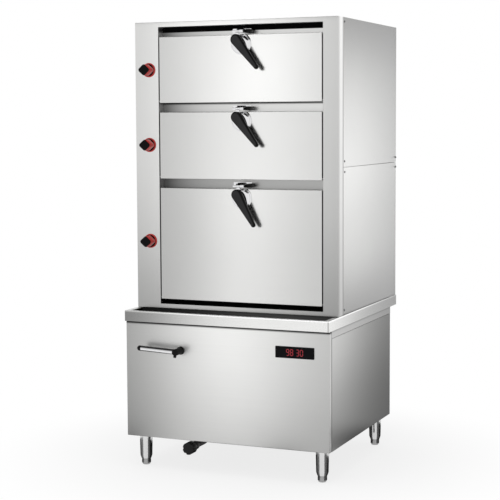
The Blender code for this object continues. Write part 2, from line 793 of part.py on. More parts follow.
def make_drain():
    """Drain pipe from the tank, bent forward under the floor, with a valve body at its end."""
    knob_front = BASE_FRONT + DRAIN_KNOB_SETBACK
    body_front = knob_front + DRAIN_KNOB_LENGTH + SEAT
    body_back = body_front + DRAIN_BODY_LENGTH
    bend = DRAIN_BEND_RADIUS
    route = [(DRAIN_X, body_back - WELD_LAP, DRAIN_HEIGHT), (DRAIN_X, DRAIN_DROP_Y - bend, DRAIN_HEIGHT)]
    for i in range(1, ARC_STEPS + 1):
        angle = math.pi / 2 * i / ARC_STEPS
        route.append(
            (
                DRAIN_X,
                DRAIN_DROP_Y - bend + bend * math.sin(angle),
                DRAIN_HEIGHT + bend - bend * math.cos(angle),
            )
        )
    route.append((DRAIN_X, DRAIN_DROP_Y, TANK_UNDERSIDE - SEAT))
    pipe = tube("drain_valve_body", route, DRAIN_PIPE_RADIUS, black_plastic())
    body = cylinder(
        "drain_valve_body.valve",
        (DRAIN_X, (body_front + body_back) / 2, DRAIN_HEIGHT),
        DRAIN_BODY_RADIUS,
        DRAIN_BODY_LENGTH,
        "Y",
        DRAIN_KNOB_LOBES,
    )
    combine(pipe, body, "UNION")
    cut_hole(
        pipe,
        (DRAIN_X, body_front, DRAIN_HEIGHT),
        SHAFT_RADIUS + RUNNING,
        DRAIN_BODY_LENGTH,
        "Y",
    )
    axis = pivot("drain_valve_axis", (DRAIN_X, body_front, DRAIN_HEIGHT))
    length = DRAIN_KNOB_LENGTH
    radius = DRAIN_KNOB_RADIUS
    profile = [
        (0, length),
        (radius - KNOB_EDGE, length),
        (radius, length - KNOB_EDGE),
        (radius, KNOB_EDGE),
        (radius - KNOB_EDGE, 0),
        (SHAFT_RADIUS, 0),
        (SHAFT_RADIUS, -DRAIN_BODY_LENGTH / 2 + KNOB_EDGE),
        (0, -DRAIN_BODY_LENGTH / 2 + KNOB_EDGE),
    ]
    knob = turned(
        "drain_valve_knob",
        profile,
        FINE_STEPS,
        black_plastic(),
        (DRAIN_X, knob_front + length, DRAIN_HEIGHT),
        "front",
        axis,
    )
    for i in range(DRAIN_KNOB_LOBES):
        angle = 2 * math.pi * i / DRAIN_KNOB_LOBES
        reach = radius + DRAIN_LOBE_RADIUS / 2
        groove = (
            DRAIN_X + reach * math.cos(angle),
            knob_front + length / 2,
            DRAIN_HEIGHT + reach * math.sin(angle),
        )
        cut_hole(knob, groove, DRAIN_LOBE_RADIUS, length + OVERRUN, "Y")


def tube(name, route, radius, made_of):
    """A round tube along a route of world points, as a closed mesh with welded caps."""
    curve = bpy.data.curves.new(name + ".route", "CURVE")
    curve.dimensions = "3D"
    curve.bevel_depth = radius
    curve.bevel_resolution = 2
    curve.use_fill_caps = True
    line = curve.splines.new("POLY")
    line.points.add(len(route) - 1)
    for point, place in zip(line.points, route):
        point.co = (*place, 1)
    guide = bpy.data.objects.new(name + ".route", curve)
    PARTS.objects.link(guide)
    bpy.context.view_layer.update()
    graph = bpy.context.evaluated_depsgraph_get()
    mesh = bpy.data.meshes.new_from_object(guide.evaluated_get(graph))
    bpy.data.objects.remove(guide, do_unlink=True)
    bm = bmesh.new()
    bm.from_mesh(mesh)
    bmesh.ops.remove_doubles(bm, verts=bm.verts, dist=MERGE)
    bmesh.ops.recalc_face_normals(bm, faces=bm.faces)
    bm.to_mesh(mesh)
    bm.free()
    mesh.name = name
    mesh.materials.clear()
    return settle(bpy.data.objects.new(name, mesh), made_of, (0, 0, 0), None)


def make_legs():
    """Four tapered round legs, each with a top plate, and a levelling foot screwed into each."""
    plate_half = LEG_PLATE / 2
    bore = FOOT_STEM_RADIUS + SEAT
    plate_under = LEG_TOP - LEG_PLATE_THICKNESS
    leg_profile = [
        (LEG_TOP_RADIUS, plate_under + LEG_PLATE_THICKNESS / 2),
        (LEG_RADIUS, FOOT_HEIGHT + LEG_NECK_HEIGHT),
        (LEG_NECK_RADIUS, FOOT_HEIGHT + SEAT),
        (bore, FOOT_HEIGHT + SEAT),
        (bore, FOOT_HEIGHT + FOOT_STEM_LENGTH + LEG_NECK_HEIGHT),
        (LEG_RADIUS - SHEET, FOOT_HEIGHT + FOOT_STEM_LENGTH + LEG_NECK_HEIGHT),
        (LEG_TOP_RADIUS - SHEET, plate_under + LEG_PLATE_THICKNESS / 2),
    ]
    foot_profile = [
        (0, FOOT_HEIGHT + FOOT_STEM_LENGTH),
        (FOOT_STEM_RADIUS, FOOT_HEIGHT + FOOT_STEM_LENGTH),
        (FOOT_STEM_RADIUS, FOOT_HEIGHT),
        (FOOT_RADIUS, FOOT_HEIGHT),
        (FOOT_RADIUS, FOOT_SHOULDER),
        (FOOT_PAD_RADIUS, 0),
        (0, 0),
    ]
    places = {
        "front_left": (-LEG_X, LEG_FRONT_Y),
        "front_right": (LEG_X, LEG_FRONT_Y),
        "back_left": (-LEG_X, LEG_BACK_Y),
        "back_right": (LEG_X, LEG_BACK_Y),
    }
    for where, (x, y) in places.items():
        leg = turned(
            "leg_" + where, leg_profile, FINE_STEPS, polished_steel(), (x, y, 0), "up", closed=True
        )
        weld_box(
            leg,
            (x - plate_half, y - plate_half, plate_under),
            (x + plate_half, y + plate_half, LEG_TOP),
        )
        axis = pivot("foot_axis_" + where, (x, y, 0))
        foot = turned(
            "foot_" + where, foot_profile, FINE_STEPS, polished_steel(), (x, y, 0), "up", axis
        )
        for side in (-1, 1):
            flat = y + side * (FOOT_RADIUS - FOOT_SHOULDER / 2)
            cut_box(
                foot,
                (x - LEG_RADIUS, min(flat, flat + side * OVERRUN), FOOT_SHOULDER),
                (x + LEG_RADIUS, max(flat, flat + side * OVERRUN), FOOT_HEIGHT - SHEET),
            )


def make_boiler():
    """Water tank on an induction coil, and the power module beside it."""
    tank = block(
        "water_tank",
        (TANK_LEFT, TANK_FRONT, TANK_UNDERSIDE),
        (TANK_RIGHT, TANK_BACK, TANK_TOP),
        plain_steel(),
    )
    cut_box(
        tank,
        (TANK_LEFT + SHEET, TANK_FRONT + SHEET, TANK_UNDERSIDE + SHEET),
        (TANK_RIGHT - SHEET, TANK_BACK - SHEET, TANK_TOP - SHEET),
    )
    cut_hole(tank, (KNOB_X, RISER_Y, TANK_TOP), RISER_RADIUS - SHEET, OVERRUN, "Z")
    coil_top = TANK_UNDERSIDE - SEAT
    coil_under = coil_top - COIL_THICKNESS
    stand_foot = FLOOR_TOP + SEAT
    coil_centre = ((TANK_LEFT + TANK_RIGHT) / 2, COIL_Y, 0)
    profile = [
        (0, coil_top),
        (COIL_RADIUS, coil_top),
        (COIL_RADIUS, coil_under),
        (COIL_STAND_RADIUS, coil_under),
        (COIL_STAND_RADIUS, stand_foot + SHEET),
        (COIL_STAND_RADIUS + COIL_THICKNESS, stand_foot + SHEET),
        (COIL_STAND_RADIUS + COIL_THICKNESS, stand_foot),
        (0, stand_foot),
    ]
    turned("induction_coil", profile, FINE_STEPS, black_plastic(), coil_centre, "up")
    module = block(
        "power_module",
        (MODULE_LEFT, -MODULE_DEPTH / 2, FLOOR_TOP + SEAT),
        (MODULE_RIGHT, MODULE_DEPTH / 2, FLOOR_TOP + SEAT + MODULE_HEIGHT),
        plain_steel(),
    )
    cut_box(
        module,
        (MODULE_LEFT + SHEET, -MODULE_DEPTH / 2 - OVERRUN, FLOOR_TOP + SEAT + SHEET),
        (MODULE_RIGHT - SHEET, MODULE_DEPTH / 2 - SHEET, FLOOR_TOP + SEAT + MODULE_HEIGHT - SHEET),
    )


# Steam cabinet


def make_front_frame():
    """Folded frame round the doors: outer returns, a face and jambs, with holes for knobs and hinges."""
    frame = block(
        "front_frame",
        (-CABINET_HALF, CABINET_FRONT, CABINET_BOTTOM),
        (CABINET_HALF, FRAME_BACK, HEIGHT),
        brushed_steel(),
    )
    cavity = frame_cutter(
        "front_frame.cavity",
        (-CABINET_HALF + SHEET, CABINET_FRONT + SHEET, CABINET_BOTTOM + SHEET),
        (CABINET_HALF - SHEET, FRAME_BACK + OVERRUN, HEIGHT - SHEET),
        (OPENING_LEFT - SHEET, CABINET_FRONT - OVERRUN, OPENING_BOTTOM - SHEET),
        (OPENING_RIGHT + SHEET, FRAME_BACK + OVERRUN + SHEET, OPENING_TOP + SHEET),
    )
    combine(frame, cavity, "DIFFERENCE")
    cut_box(
        frame,
        (OPENING_LEFT - FLANGE_LAP, FLANGE_FRONT - SEAT, CABINET_BOTTOM + 2 * SHEET),
        (OPENING_RIGHT + FLANGE_LAP, FRAME_BACK + OVERRUN, HEIGHT - 2 * SHEET),
    )
    cut_box(
        frame,
        (OPENING_LEFT, CABINET_FRONT - OVERRUN, OPENING_BOTTOM),
        (OPENING_RIGHT, FRAME_BACK + OVERRUN, OPENING_TOP),
    )
    shafts = [(KNOB_X, CABINET_FRONT, height) for height in KNOB_HEIGHTS]
    cut_holes(frame, shafts, SHAFT_RADIUS + RUNNING, FRAME_DEPTH / 2, "Y")
    middle_x = (OPENING_LEFT + OPENING_RIGHT) / 2
    through_both_jambs = OPENING_RIGHT - OPENING_LEFT + OVERRUN
    hinges = [(middle_x, HINGE_Y, low + HINGE_ABOVE_EDGE) for low, _ in DOOR_SPANS]
    cut_holes(frame, hinges, HINGE_ROD_RADIUS + SEAT, through_both_jambs, "X")


def make_liner():
    """Welded chamber liner: a flange with three windows, and an open box with ledges behind each."""
    liner = block(
        "chamber_liner",
        (OPENING_LEFT - FLANGE_LAP, FLANGE_FRONT, FLANGE_BOTTOM),
        (OPENING_RIGHT + FLANGE_LAP, FLANGE_BACK, FLANGE_TOP),
        brushed_steel(),
    )
    lowest, highest = CHAMBER_SPANS[-1][0], CHAMBER_SPANS[0][1]
    weld_box(
        liner,
        (CHAMBER_LEFT - SHEET, FLANGE_FRONT + SHEET / 2, lowest - SHEET),
        (CHAMBER_RIGHT + SHEET, CHAMBER_BACK + SHEET, highest + SHEET),
    )
    for (_, under), (over, _) in zip(CHAMBER_SPANS[1:], CHAMBER_SPANS):
        cut_box(
            liner,
            (CHAMBER_LEFT - OVERRUN, FLANGE_BACK, under + SHEET),
            (CHAMBER_RIGHT + OVERRUN, CHAMBER_BACK, over - SHEET),
        )
    for (low, high), knob in zip(CHAMBER_SPANS, KNOB_HEIGHTS):
        cut_box(
            liner,
            (CHAMBER_LEFT, FLANGE_FRONT - OVERRUN, low),
            (CHAMBER_RIGHT, CHAMBER_BACK, high),
        )
        for wall, inward in ((CHAMBER_LEFT, 1), (CHAMBER_RIGHT, -1)):
            ends = (wall - inward * SHEET / 2, wall + inward * LEDGE_WIDTH)
            weld_box(
                liner,
                (min(ends), FLANGE_BACK + LEDGE_END_GAP, low + LEDGE_HEIGHT),
                (max(ends), CHAMBER_BACK - LEDGE_END_GAP, low + LEDGE_HEIGHT + LEDGE_THICKNESS),
            )
        cut_hole(liner, (CHAMBER_LEFT, RISER_Y, knob), STEAM_PORT_RADIUS, OVERRUN, "X")


def make_liner_seal():
    """Black silicone ring round the liner's flange, with a lip forward along the bottom rail."""
    edge = FLANGE_LAP + SEAT
    seal = block(
        "liner_seal",
        (OPENING_LEFT - edge - SEAL_WIDTH, FLANGE_FRONT, OPENING_BOTTOM - SEAL_LAP),
        (OPENING_RIGHT + edge + SEAL_WIDTH, FLANGE_FRONT + SEAL_THICKNESS, OPENING_TOP + SEAL_LAP),
        black_rubber(),
    )
    cut_box(
        seal,
        (OPENING_LEFT - edge, FLANGE_FRONT - OVERRUN, FLANGE_BOTTOM - SEAT),
        (OPENING_RIGHT + edge, FLANGE_FRONT + OVERRUN, FLANGE_TOP + SEAT),
    )
    weld_box(
        seal,
        (DOOR_LEFT, CABINET_FRONT + SHEET, OPENING_BOTTOM + SEAT),
        (DOOR_RIGHT, FLANGE_FRONT + SEAL_THICKNESS / 2, OPENING_BOTTOM + SEAT + SEAL_LIP),
    )


def make_casing():
    """Side panels in two courses, back panel and top panel, all folded pans."""
    front = FRAME_BACK + SEAT
    courses = {
        "lower": (CABINET_BOTTOM, SIDE_SEAM_HEIGHT - SIDE_SEAM / 2),
        "upper": (SIDE_SEAM_HEIGHT + SIDE_SEAM / 2, HEIGHT),
    }
    for course, (low, high) in courses.items():
        for where, side in (("left", -1), ("right", 1)):
            ends = (side * CABINET_HALF, side * (CABINET_HALF - PANEL_RETURN))
            pan(
                f"side_panel_{course}_{where}",
                (min(ends), front, low),
                (max(ends), CABINET_BACK, high),
                (-side, 0, 0),
                brushed_steel(),
                bend=0,
            )
    inner = CABINET_HALF - PANEL_RETURN - SEAT
    pan(
        "back_panel",
        (-inner, CABINET_BACK - PANEL_RETURN, CABINET_BOTTOM),
        (inner, CABINET_BACK, HEIGHT),
        (0, -1, 0),
        plain_steel(),
        bend=0,
    )
    pan(
        "top_panel",
        (-inner, front, HEIGHT - PANEL_RETURN),
        (inner, CABINET_BACK - PANEL_RETURN - SEAT, HEIGHT),
        (0, 0, -1),
        brushed_steel(),
        bend=0,
    )


def make_racks():
    """Perforated tray with a turned-up rim in each chamber, resting on the ledges."""
    left = CHAMBER_LEFT + RACK_EDGE_GAP
    right = CHAMBER_RIGHT - RACK_EDGE_GAP
    front = FLANGE_BACK + LEDGE_END_GAP
    back = CHAMBER_BACK - LEDGE_END_GAP
    pitch_x = (right - left - 2 * SLOT_WEB) / RACK_SLOT_COLUMNS
    pitch_y = (back - front - 2 * SLOT_WEB) / RACK_SLOT_ROWS

    def slots(bm):
        for column in range(RACK_SLOT_COLUMNS):
            for row in range(RACK_SLOT_ROWS):
                centre = (
                    SLOT_WEB + (column + 0.5) * pitch_x,
                    SLOT_WEB + (row + 0.5) * pitch_y,
                    0,
                )
                size = (pitch_x - SLOT_WEB, pitch_y - SLOT_WEB, OVERRUN)
                place = Matrix.Translation(centre) @ Matrix.Diagonal((*size, 1))
                bmesh.ops.create_cube(bm, size=1, matrix=place)

    for number, (low, _) in enumerate(CHAMBER_SPANS, 1):
        under = low + LEDGE_HEIGHT + LEDGE_THICKNESS + SEAT
        rack = pan(
            f"rack_{number}",
            (left, front, under),
            (right, back, under + RACK_RIM),
            (0, 0, 1),
            plain_steel(),
            bend=0,
        )
        holes = mesh_object(
            f"rack_{number}.slots", slots, None, (left, front, under), collection=CUTTERS
        )
        combine(rack, holes, "DIFFERENCE")


def make_steam_pipe():
    """Riser from the tank with a valve body and a branch into each chamber."""
    pipe = cylinder(
        "steam_manifold",
        (KNOB_X, RISER_Y, (TANK_TOP + SEAT + KNOB_HEIGHTS[0]) / 2),
        RISER_RADIUS,
        KNOB_HEIGHTS[0] - TANK_TOP - SEAT,
        "Z",
        COARSE_STEPS,
        brass(),
        collection=PARTS,
    )
    branch_end = CHAMBER_LEFT - SHEET - SEAT
    for number, height in enumerate(KNOB_HEIGHTS, 1):
        valve = cylinder(
            f"steam_manifold.valve_{number}",
            (KNOB_X, RISER_Y, height),
            VALVE_RADIUS,
            VALVE_HEIGHT,
            "Y",
            COARSE_STEPS,
        )
        combine(pipe, valve, "UNION")
        branch = cylinder(
            f"steam_manifold.branch_{number}",
            ((KNOB_X + branch_end) / 2, RISER_Y, height),
            RISER_RADIUS,
            branch_end - KNOB_X,
            "X",
            COARSE_STEPS,
        )
        combine(pipe, branch, "UNION")


def make_knobs():
    """Steam knobs: a disc and spindle with a rounded diamond grip, turning about Y."""
    disc = KNOB_DISC_THICKNESS
    spindle = RISER_BEHIND_FACE - VALVE_HEIGHT / 2 - SEAT + RUNNING
    profile = [
        (0, disc),
        (KNOB_DISC_RADIUS - KNOB_EDGE, disc),
        (KNOB_DISC_RADIUS, disc - KNOB_EDGE),
        (KNOB_DISC_RADIUS, 0),
        (SHAFT_RADIUS, 0),
        (SHAFT_RADIUS, -spindle),
        (0, -spindle),
    ]
    for number, height in enumerate(KNOB_HEIGHTS, 1):
        back = CABINET_FRONT - RUNNING
        axis = pivot(f"knob_{number}_axis", (KNOB_X, CABINET_FRONT, height))
        knob = turned(
            f"steam_knob_{number}",
            profile,
            FINE_STEPS,
            red_plastic(),
            (KNOB_X, back, height),
            "front",
            axis,
        )
        grip = outline_plate(
            f"steam_knob_{number}.grip",
            knob_outline(),
            CABINET_FRONT - KNOB_REACH,
            back - disc + WELD_LAP,
            None,
            (KNOB_X, back, height),
            edge=KNOB_EDGE,
            collection=CUTTERS,
        )
        combine(knob, grip, "UNION")


def knob_outline():
    """Diamond with rounded corners, pointing up, down, left and right."""
    wide = KNOB_GRIP_HALF_WIDTH - KNOB_GRIP_ROUND
    tall = KNOB_GRIP_HALF_HEIGHT - KNOB_GRIP_ROUND
    lean = math.atan2(wide, tall)
    points = []
    for centre, facing, half in (
        ((wide, 0), 0, math.pi / 2 - lean),
        ((0, tall), math.pi / 2, lean),
        ((-wide, 0), math.pi, math.pi / 2 - lean),
        ((0, -tall), 3 * math.pi / 2, lean),
    ):
        spread = math.pi / 2 - half
        points += arc(centre, KNOB_GRIP_ROUND, facing - spread, facing + spread, 2)
    return points


def make_doors():
    """Three drop-down doors, each a front pan, an inner panel, a gasket and a hinge rod."""
    for number, (low, high) in enumerate(DOOR_SPANS, 1):
        hinge_z = low + HINGE_ABOVE_EDGE
        axis = pivot(f"door_{number}_hinge", ((DOOR_LEFT + DOOR_RIGHT) / 2, HINGE_Y, hinge_z))
        skin = pan(
            f"door_{number}_skin",
            (DOOR_LEFT, CABINET_FRONT, low),
            (DOOR_RIGHT, DOOR_BACK, high),
            (0, 1, 0),
            brushed_steel(),
            axis,
        )
        bore = HINGE_ROD_RADIUS + SEAT
        for edge in (DOOR_LEFT, DOOR_RIGHT):
            cut_hole(skin, (edge, HINGE_Y, hinge_z), bore, OVERRUN, "X")
        make_door_liner(number, low, high, axis)
        inset = GASKET_INSET
        gasket = block(
            f"door_{number}_gasket",
            (DOOR_LEFT + inset, DOOR_BACK + SEAT, low + inset),
            (DOOR_RIGHT - inset, FLANGE_FRONT - SEAT, high - inset),
            black_rubber(),
            axis,
        )
        inset += GASKET_WIDTH
        cut_box(
            gasket,
            (DOOR_LEFT + inset, DOOR_BACK - OVERRUN, low + inset),
            (DOOR_RIGHT - inset, FLANGE_FRONT + OVERRUN, high - inset),
        )
        cylinder(
            f"door_{number}_hinge_rod",
            ((OPENING_LEFT + OPENING_RIGHT) / 2, HINGE_Y, hinge_z),
            HINGE_ROD_RADIUS,
            OPENING_RIGHT - OPENING_LEFT + 2 * HINGE_ROD_GRIP,
            "X",
            COARSE_STEPS,
            polished_steel(),
            collection=PARTS,
        )
        make_latch(number, high, axis)


def make_door_liner(number, low, high, axis):
    """Inner panel that closes the door's back, with a plug raised into the chamber."""
    inside = SHEET + SEAT
    liner = outline_plate(
        f"door_{number}_liner",
        rounded_rectangle(
            (DOOR_LEFT + inside, low + inside), (DOOR_RIGHT - inside, high - inside), BEND_RADIUS
        ),
        DOOR_BACK - SHEET,
        DOOR_BACK,
        brushed_steel(),
        (0, 0, 0),
        axis,
    )
    inset = DOOR_PLUG_INSET
    weld_box(
        liner,
        (DOOR_LEFT + inset, DOOR_BACK - SHEET / 2, low + inset),
        (DOOR_RIGHT - inset, DOOR_BACK + DOOR_PLUG_DEPTH, high - inset),
    )
    inset += SHEET
    cut_box(
        liner,
        (DOOR_LEFT + inset, DOOR_BACK - OVERRUN, low + inset),
        (DOOR_RIGHT - inset, DOOR_BACK + DOOR_PLUG_DEPTH - SHEET, high - inset),
    )


def make_latch(number, door_top, door_axis):
    """Chrome housing on the door, tongue and black lever that turn about Y, and the keeper on the rail."""
    pivot_z = door_top - PIVOT_BELOW_DOOR_TOP
    face = CABINET_FRONT - SEAT
    thick = HOUSING_THICKNESS
    profile = [
        (0, thick),
        (HOUSING_RADIUS - HOUSING_SHOULDER, thick),
        (HOUSING_RADIUS, thick - HOUSING_SHOULDER),
        (HOUSING_RADIUS, 0),
        (0, 0),
    ]
    housing = turned(
        f"latch_{number}_housing",
        profile,
        FINE_STEPS,
        chrome(),
        (LATCH_X + HOUSING_OFFSET_X, face, pivot_z - HOUSING_DROP),
        "front",
        door_axis,
    )
    cut_box(
        housing,
        (LATCH_X - 2 * HOUSING_RADIUS, face - 2 * thick, door_top - RUNNING),
        (LATCH_X + 2 * HOUSING_RADIUS, face + thick, door_top + HOUSING_RADIUS),
    )
    grip_end = TONGUE_BACK + LATCH_SPINDLE_GRIP
    bore = LATCH_SPINDLE_RADIUS + SEAT
    cut_hole(housing, (LATCH_X, TONGUE_BACK, pivot_z), bore, 2 * (LATCH_SPINDLE_GRIP + SEAT), "Y")
    axis = pivot(f"latch_{number}_pivot", (LATCH_X, CABINET_FRONT, pivot_z), door_axis)
    place = (LATCH_X, TONGUE_BACK, pivot_z)
    tongue = outline_plate(
        f"latch_{number}_tongue",
        turned_outline(teardrop(TONGUE_ROOT_RADIUS, TONGUE_TIP_RADIUS, TONGUE_REACH), 90),
        TONGUE_FRONT,
        TONGUE_BACK,
        chrome(),
        place,
        axis,
    )
    cut_hole(tongue, place, bore, 2 * TONGUE_THICKNESS + OVERRUN, "Y")
    lean = LATCH_LEAN_DEGREES[number - 1] - 90
    lever = outline_plate(
        f"latch_{number}_lever",
        turned_outline(teardrop(LEVER_HEAD_RADIUS, LEVER_TIP_RADIUS, LEVER_LENGTH), lean),
        LEVER_BACK - LEVER_THICKNESS,
        LEVER_BACK,
        black_plastic(),
        (LATCH_X, LEVER_BACK, pivot_z),
        axis,
        edge=LEVER_EDGE,
    )
    taper_lever(lever, lean)
    spindle = cylinder(
        f"latch_{number}_lever.spindle",
        (LATCH_X, (LEVER_BACK - WELD_LAP + grip_end) / 2, pivot_z),
        LATCH_SPINDLE_RADIUS,
        grip_end - LEVER_BACK + WELD_LAP,
        "Y",
        COARSE_STEPS,
    )
    combine(lever, spindle, "UNION")
    make_keeper(number, door_top)


def taper_lever(lever, lean):
    """Thins the lever from its head to its tip, keeping its back face lifted off the door."""
    along = Vector((math.cos(math.radians(lean)), 0, math.sin(math.radians(lean))))
    for vertex in lever.data.vertices:
        share = min(max(vertex.co.dot(along) / LEVER_LENGTH, 0), 1)
        thin = 1 - share * (1 - LEVER_TIP_THICKNESS / LEVER_THICKNESS)
        vertex.co.y *= thin


def make_keeper(number, door_top):
    """Keeper on the rail above a door: a plate, a post and a bar that the tongue turns behind."""
    low = door_top + KEEPER_ABOVE_DOOR
    high = low + KEEPER_HEIGHT
    plate_back = FLANGE_FRONT - SEAT
    left = LATCH_X - KEEPER_WIDTH / 2
    keeper = block(
        f"latch_{number}_keeper",
        (left, plate_back - KEEPER_PLATE, low),
        (left + KEEPER_WIDTH, plate_back, high),
        chrome(),
    )
    bar_back = TONGUE_FRONT - RUNNING
    post_left = LATCH_X + KEEPER_POST_GAP
    weld_box(
        keeper,
        (post_left, bar_back - KEEPER_BAR, low + SHEET),
        (post_left + KEEPER_POST_WIDTH, plate_back - KEEPER_PLATE / 2, low + KEEPER_BAR_HEIGHT),
    )
    bar_right = post_left + KEEPER_POST_WIDTH / 2
    weld_box(
        keeper,
        (bar_right - KEEPER_BAR_REACH, bar_back - KEEPER_BAR + WELD_LAP, low + 2 * SHEET),
        (bar_right, bar_back, low + KEEPER_BAR_HEIGHT - SHEET),
    )


def round_off():
    """Shades every turned and bevelled piece smooth, apart from its sharp edges."""
    for obj in PARTS.objects:
        if obj.type == "MESH":
            obj.data.shade_smooth()
            obj.data.set_sharp_from_angle(angle=math.radians(30))


def main():
    clear_scene()
    make_worktop()
    make_chassis()
    make_base_shell()
    make_front_panel()
    make_display()
    make_power_lever()
    make_drain()
    make_legs()
    make_boiler()
    make_front_frame()
    make_liner()
    make_liner_seal()
    make_casing()
    make_racks()
    make_steam_pipe()
    make_knobs()
    make_doors()
    round_off()


main()
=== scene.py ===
"""Seafood steamer cabinet: finishes, fine fittings, soft studio light, floor and camera."""
import json
import math

import bmesh
import bpy
from mathutils import Matrix, Vector


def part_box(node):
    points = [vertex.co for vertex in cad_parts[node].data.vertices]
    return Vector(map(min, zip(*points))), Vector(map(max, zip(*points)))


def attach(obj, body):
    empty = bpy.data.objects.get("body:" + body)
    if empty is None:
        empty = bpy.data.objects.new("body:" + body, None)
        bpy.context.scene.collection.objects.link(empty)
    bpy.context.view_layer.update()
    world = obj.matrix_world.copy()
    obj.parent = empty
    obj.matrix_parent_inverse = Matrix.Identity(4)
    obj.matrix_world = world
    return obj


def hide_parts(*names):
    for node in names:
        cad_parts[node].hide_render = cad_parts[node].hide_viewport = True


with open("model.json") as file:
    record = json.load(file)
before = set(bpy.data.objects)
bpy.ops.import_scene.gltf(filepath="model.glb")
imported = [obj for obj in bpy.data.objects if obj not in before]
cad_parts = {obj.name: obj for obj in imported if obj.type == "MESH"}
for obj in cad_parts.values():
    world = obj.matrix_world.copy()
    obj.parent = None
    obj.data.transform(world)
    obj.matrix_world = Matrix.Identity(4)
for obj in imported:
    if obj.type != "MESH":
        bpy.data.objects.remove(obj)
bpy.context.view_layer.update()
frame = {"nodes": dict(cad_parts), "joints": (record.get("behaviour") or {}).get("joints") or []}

scene = bpy.context.scene
nodes = frame["nodes"]
joints = {joint["name"]: joint for joint in frame["joints"]}

DOORS = (1, 2, 3)
COURSES = ("upper", "lower")
CORNERS = ("front_left", "front_right", "back_left", "back_right")
FORWARD = Vector((0, -1, 0))
UP = Vector((0, 0, 1))

# Camera, at the height and angle of the photograph
CAMERA_PLACE = Vector((2.2430, -5.4722, 1.4429))
CAMERA_YAW = 0.3988
CAMERA_PITCH = -0.0826
CAMERA_ROLL = -0.0049
CAMERA_LENS = 99.52
CAMERA_SENSOR = 36
CAMERA_SHIFT_UP = -0.03
CAMERA_REACH = 100

# Floor and background
FLOOR_RADIUS = 12.0
FLOOR_BELOW_FEET = 0.0002
FLOOR_PLAIN_RADIUS = 0.5
FLOOR_WHITE_RADIUS = 1.3
FLOOR_GLOW = 0.80
FLOOR_COLOUR = (0.86, 0.86, 0.86, 1)
WHITE = (1, 1, 1, 1)
AMBIENT = 0.62

# Dark cards that only reflections show. A fan has a name, two angles in degrees, its reach and its shade
# The fans stand in for the shaded floor round and under each leg: painted shade that only reflections show
LEG_CARD_START = 0.028
LEG_CARDS = (
    ("right", 5, 85, 0.34, 0.05),
    ("behind", 85, 95, 0.50, 0.05),
    ("left", 95, 190, 0.40, 0.05),
    ("front_left", -170, -122, 0.38, 0.30),
    ("front_right", -36, 5, 0.38, 0.22),
)
FLOOR_CARD_HEIGHT = -0.0001
OVERHEAD_CARD = ((-1.6, -2.3), (1.6, -2.3), (1.6, -0.55), (-1.6, -0.55))
OVERHEAD_CARD_HEIGHT = 2.7

# Sheet metal and clearances, in metres
SHEET = 0.0015
SEAT = 0.0003
RUNNING = 0.0005
TOUCH = 0.0001
WELD = 0.00001
SMOOTH_ANGLE = math.radians(32)
SQUARE_ON = 0.9
ROUND_STEPS = 48


def joint_place(name):
    """Where a joint of the frame sits."""
    return Vector(joints[name]["pos_m"])


# Node helpers for the materials


def blank_material(name):
    material = bpy.data.materials.new(name)
    material.use_nodes = True
    shader = material.node_tree.nodes["Principled BSDF"]
    return material, material.node_tree, shader


def add_node(tree, kind, **settings):
    node = tree.nodes.new(kind)
    for key, value in settings.items():
        setattr(node, key, value)
    return node


def place_on_piece(tree, scale=(1, 1, 1), turn=0.0):
    """Object coordinates, stretched for a pattern or turned about the depth axis."""
    coordinates = add_node(tree, "ShaderNodeTexCoord")
    mapping = add_node(tree, "ShaderNodeMapping")
    mapping.inputs["Scale"].default_value = scale
    mapping.inputs["Rotation"].default_value = (0, turn, 0)
    tree.links.new(coordinates.outputs["Object"], mapping.inputs["Vector"])
    return mapping.outputs["Vector"]


def noise(tree, vector, scale, detail=3.0, roughness=0.5):
    texture = add_node(tree, "ShaderNodeTexNoise")
    texture.inputs["Scale"].default_value = scale
    texture.inputs["Detail"].default_value = detail
    texture.inputs["Roughness"].default_value = roughness
    tree.links.new(vector, texture.inputs["Vector"])
    return texture.outputs["Fac"]


def spread(tree, value, low, high, from_low=0.3, from_high=0.7):
    """Maps a noise value to a range."""
    ranged = add_node(tree, "ShaderNodeMapRange")
    ranged.inputs["From Min"].default_value = from_low
    ranged.inputs["From Max"].default_value = from_high
    ranged.inputs["To Min"].default_value = low
    ranged.inputs["To Max"].default_value = high
    tree.links.new(value, ranged.inputs["Value"])
    return ranged.outputs["Result"]


def multiply(tree, first, second):
    node = add_node(tree, "ShaderNodeMath", operation="MULTIPLY")
    tree.links.new(first, node.inputs[0])
    tree.links.new(second, node.inputs[1])
    return node.outputs["Value"]


def tones_along(tree, axis, low, high, tones, turn=0.0):
    """A tone that changes along one axis of the piece, from low to high, through evenly spaced steps."""
    parts = add_node(tree, "ShaderNodeSeparateXYZ")
    tree.links.new(place_on_piece(tree, turn=turn), parts.inputs["Vector"])
    share = spread(tree, parts.outputs[axis], 0, 1, low, high)
    ramp = add_node(tree, "ShaderNodeValToRGB")
    ramp.color_ramp.interpolation = "B_SPLINE"
    stops = ramp.color_ramp.elements
    while len(stops) < len(tones):
        stops.new(0.5)
    for i, tone in enumerate(tones):
        stops[i].position = i / (len(tones) - 1)
        stops[i].color = (tone, tone, tone, 1)
    tree.links.new(share, ramp.inputs["Fac"])
    return ramp.outputs["Color"]


def add_bump(tree, shader, height, strength, distance):
    bump = add_node(tree, "ShaderNodeBump")
    bump.inputs["Strength"].default_value = strength
    bump.inputs["Distance"].default_value = distance
    tree.links.new(height, bump.inputs["Height"])
    tree.links.new(bump.outputs["Normal"], shader.inputs["Normal"])


def tint(tree, value, colour):
    """Multiplies a colour by a value."""
    node = add_node(tree, "ShaderNodeVectorMath", operation="SCALE")
    node.inputs[0].default_value = colour
    tree.links.new(value, node.inputs["Scale"])
    return node.outputs["Vector"]


# Finishes

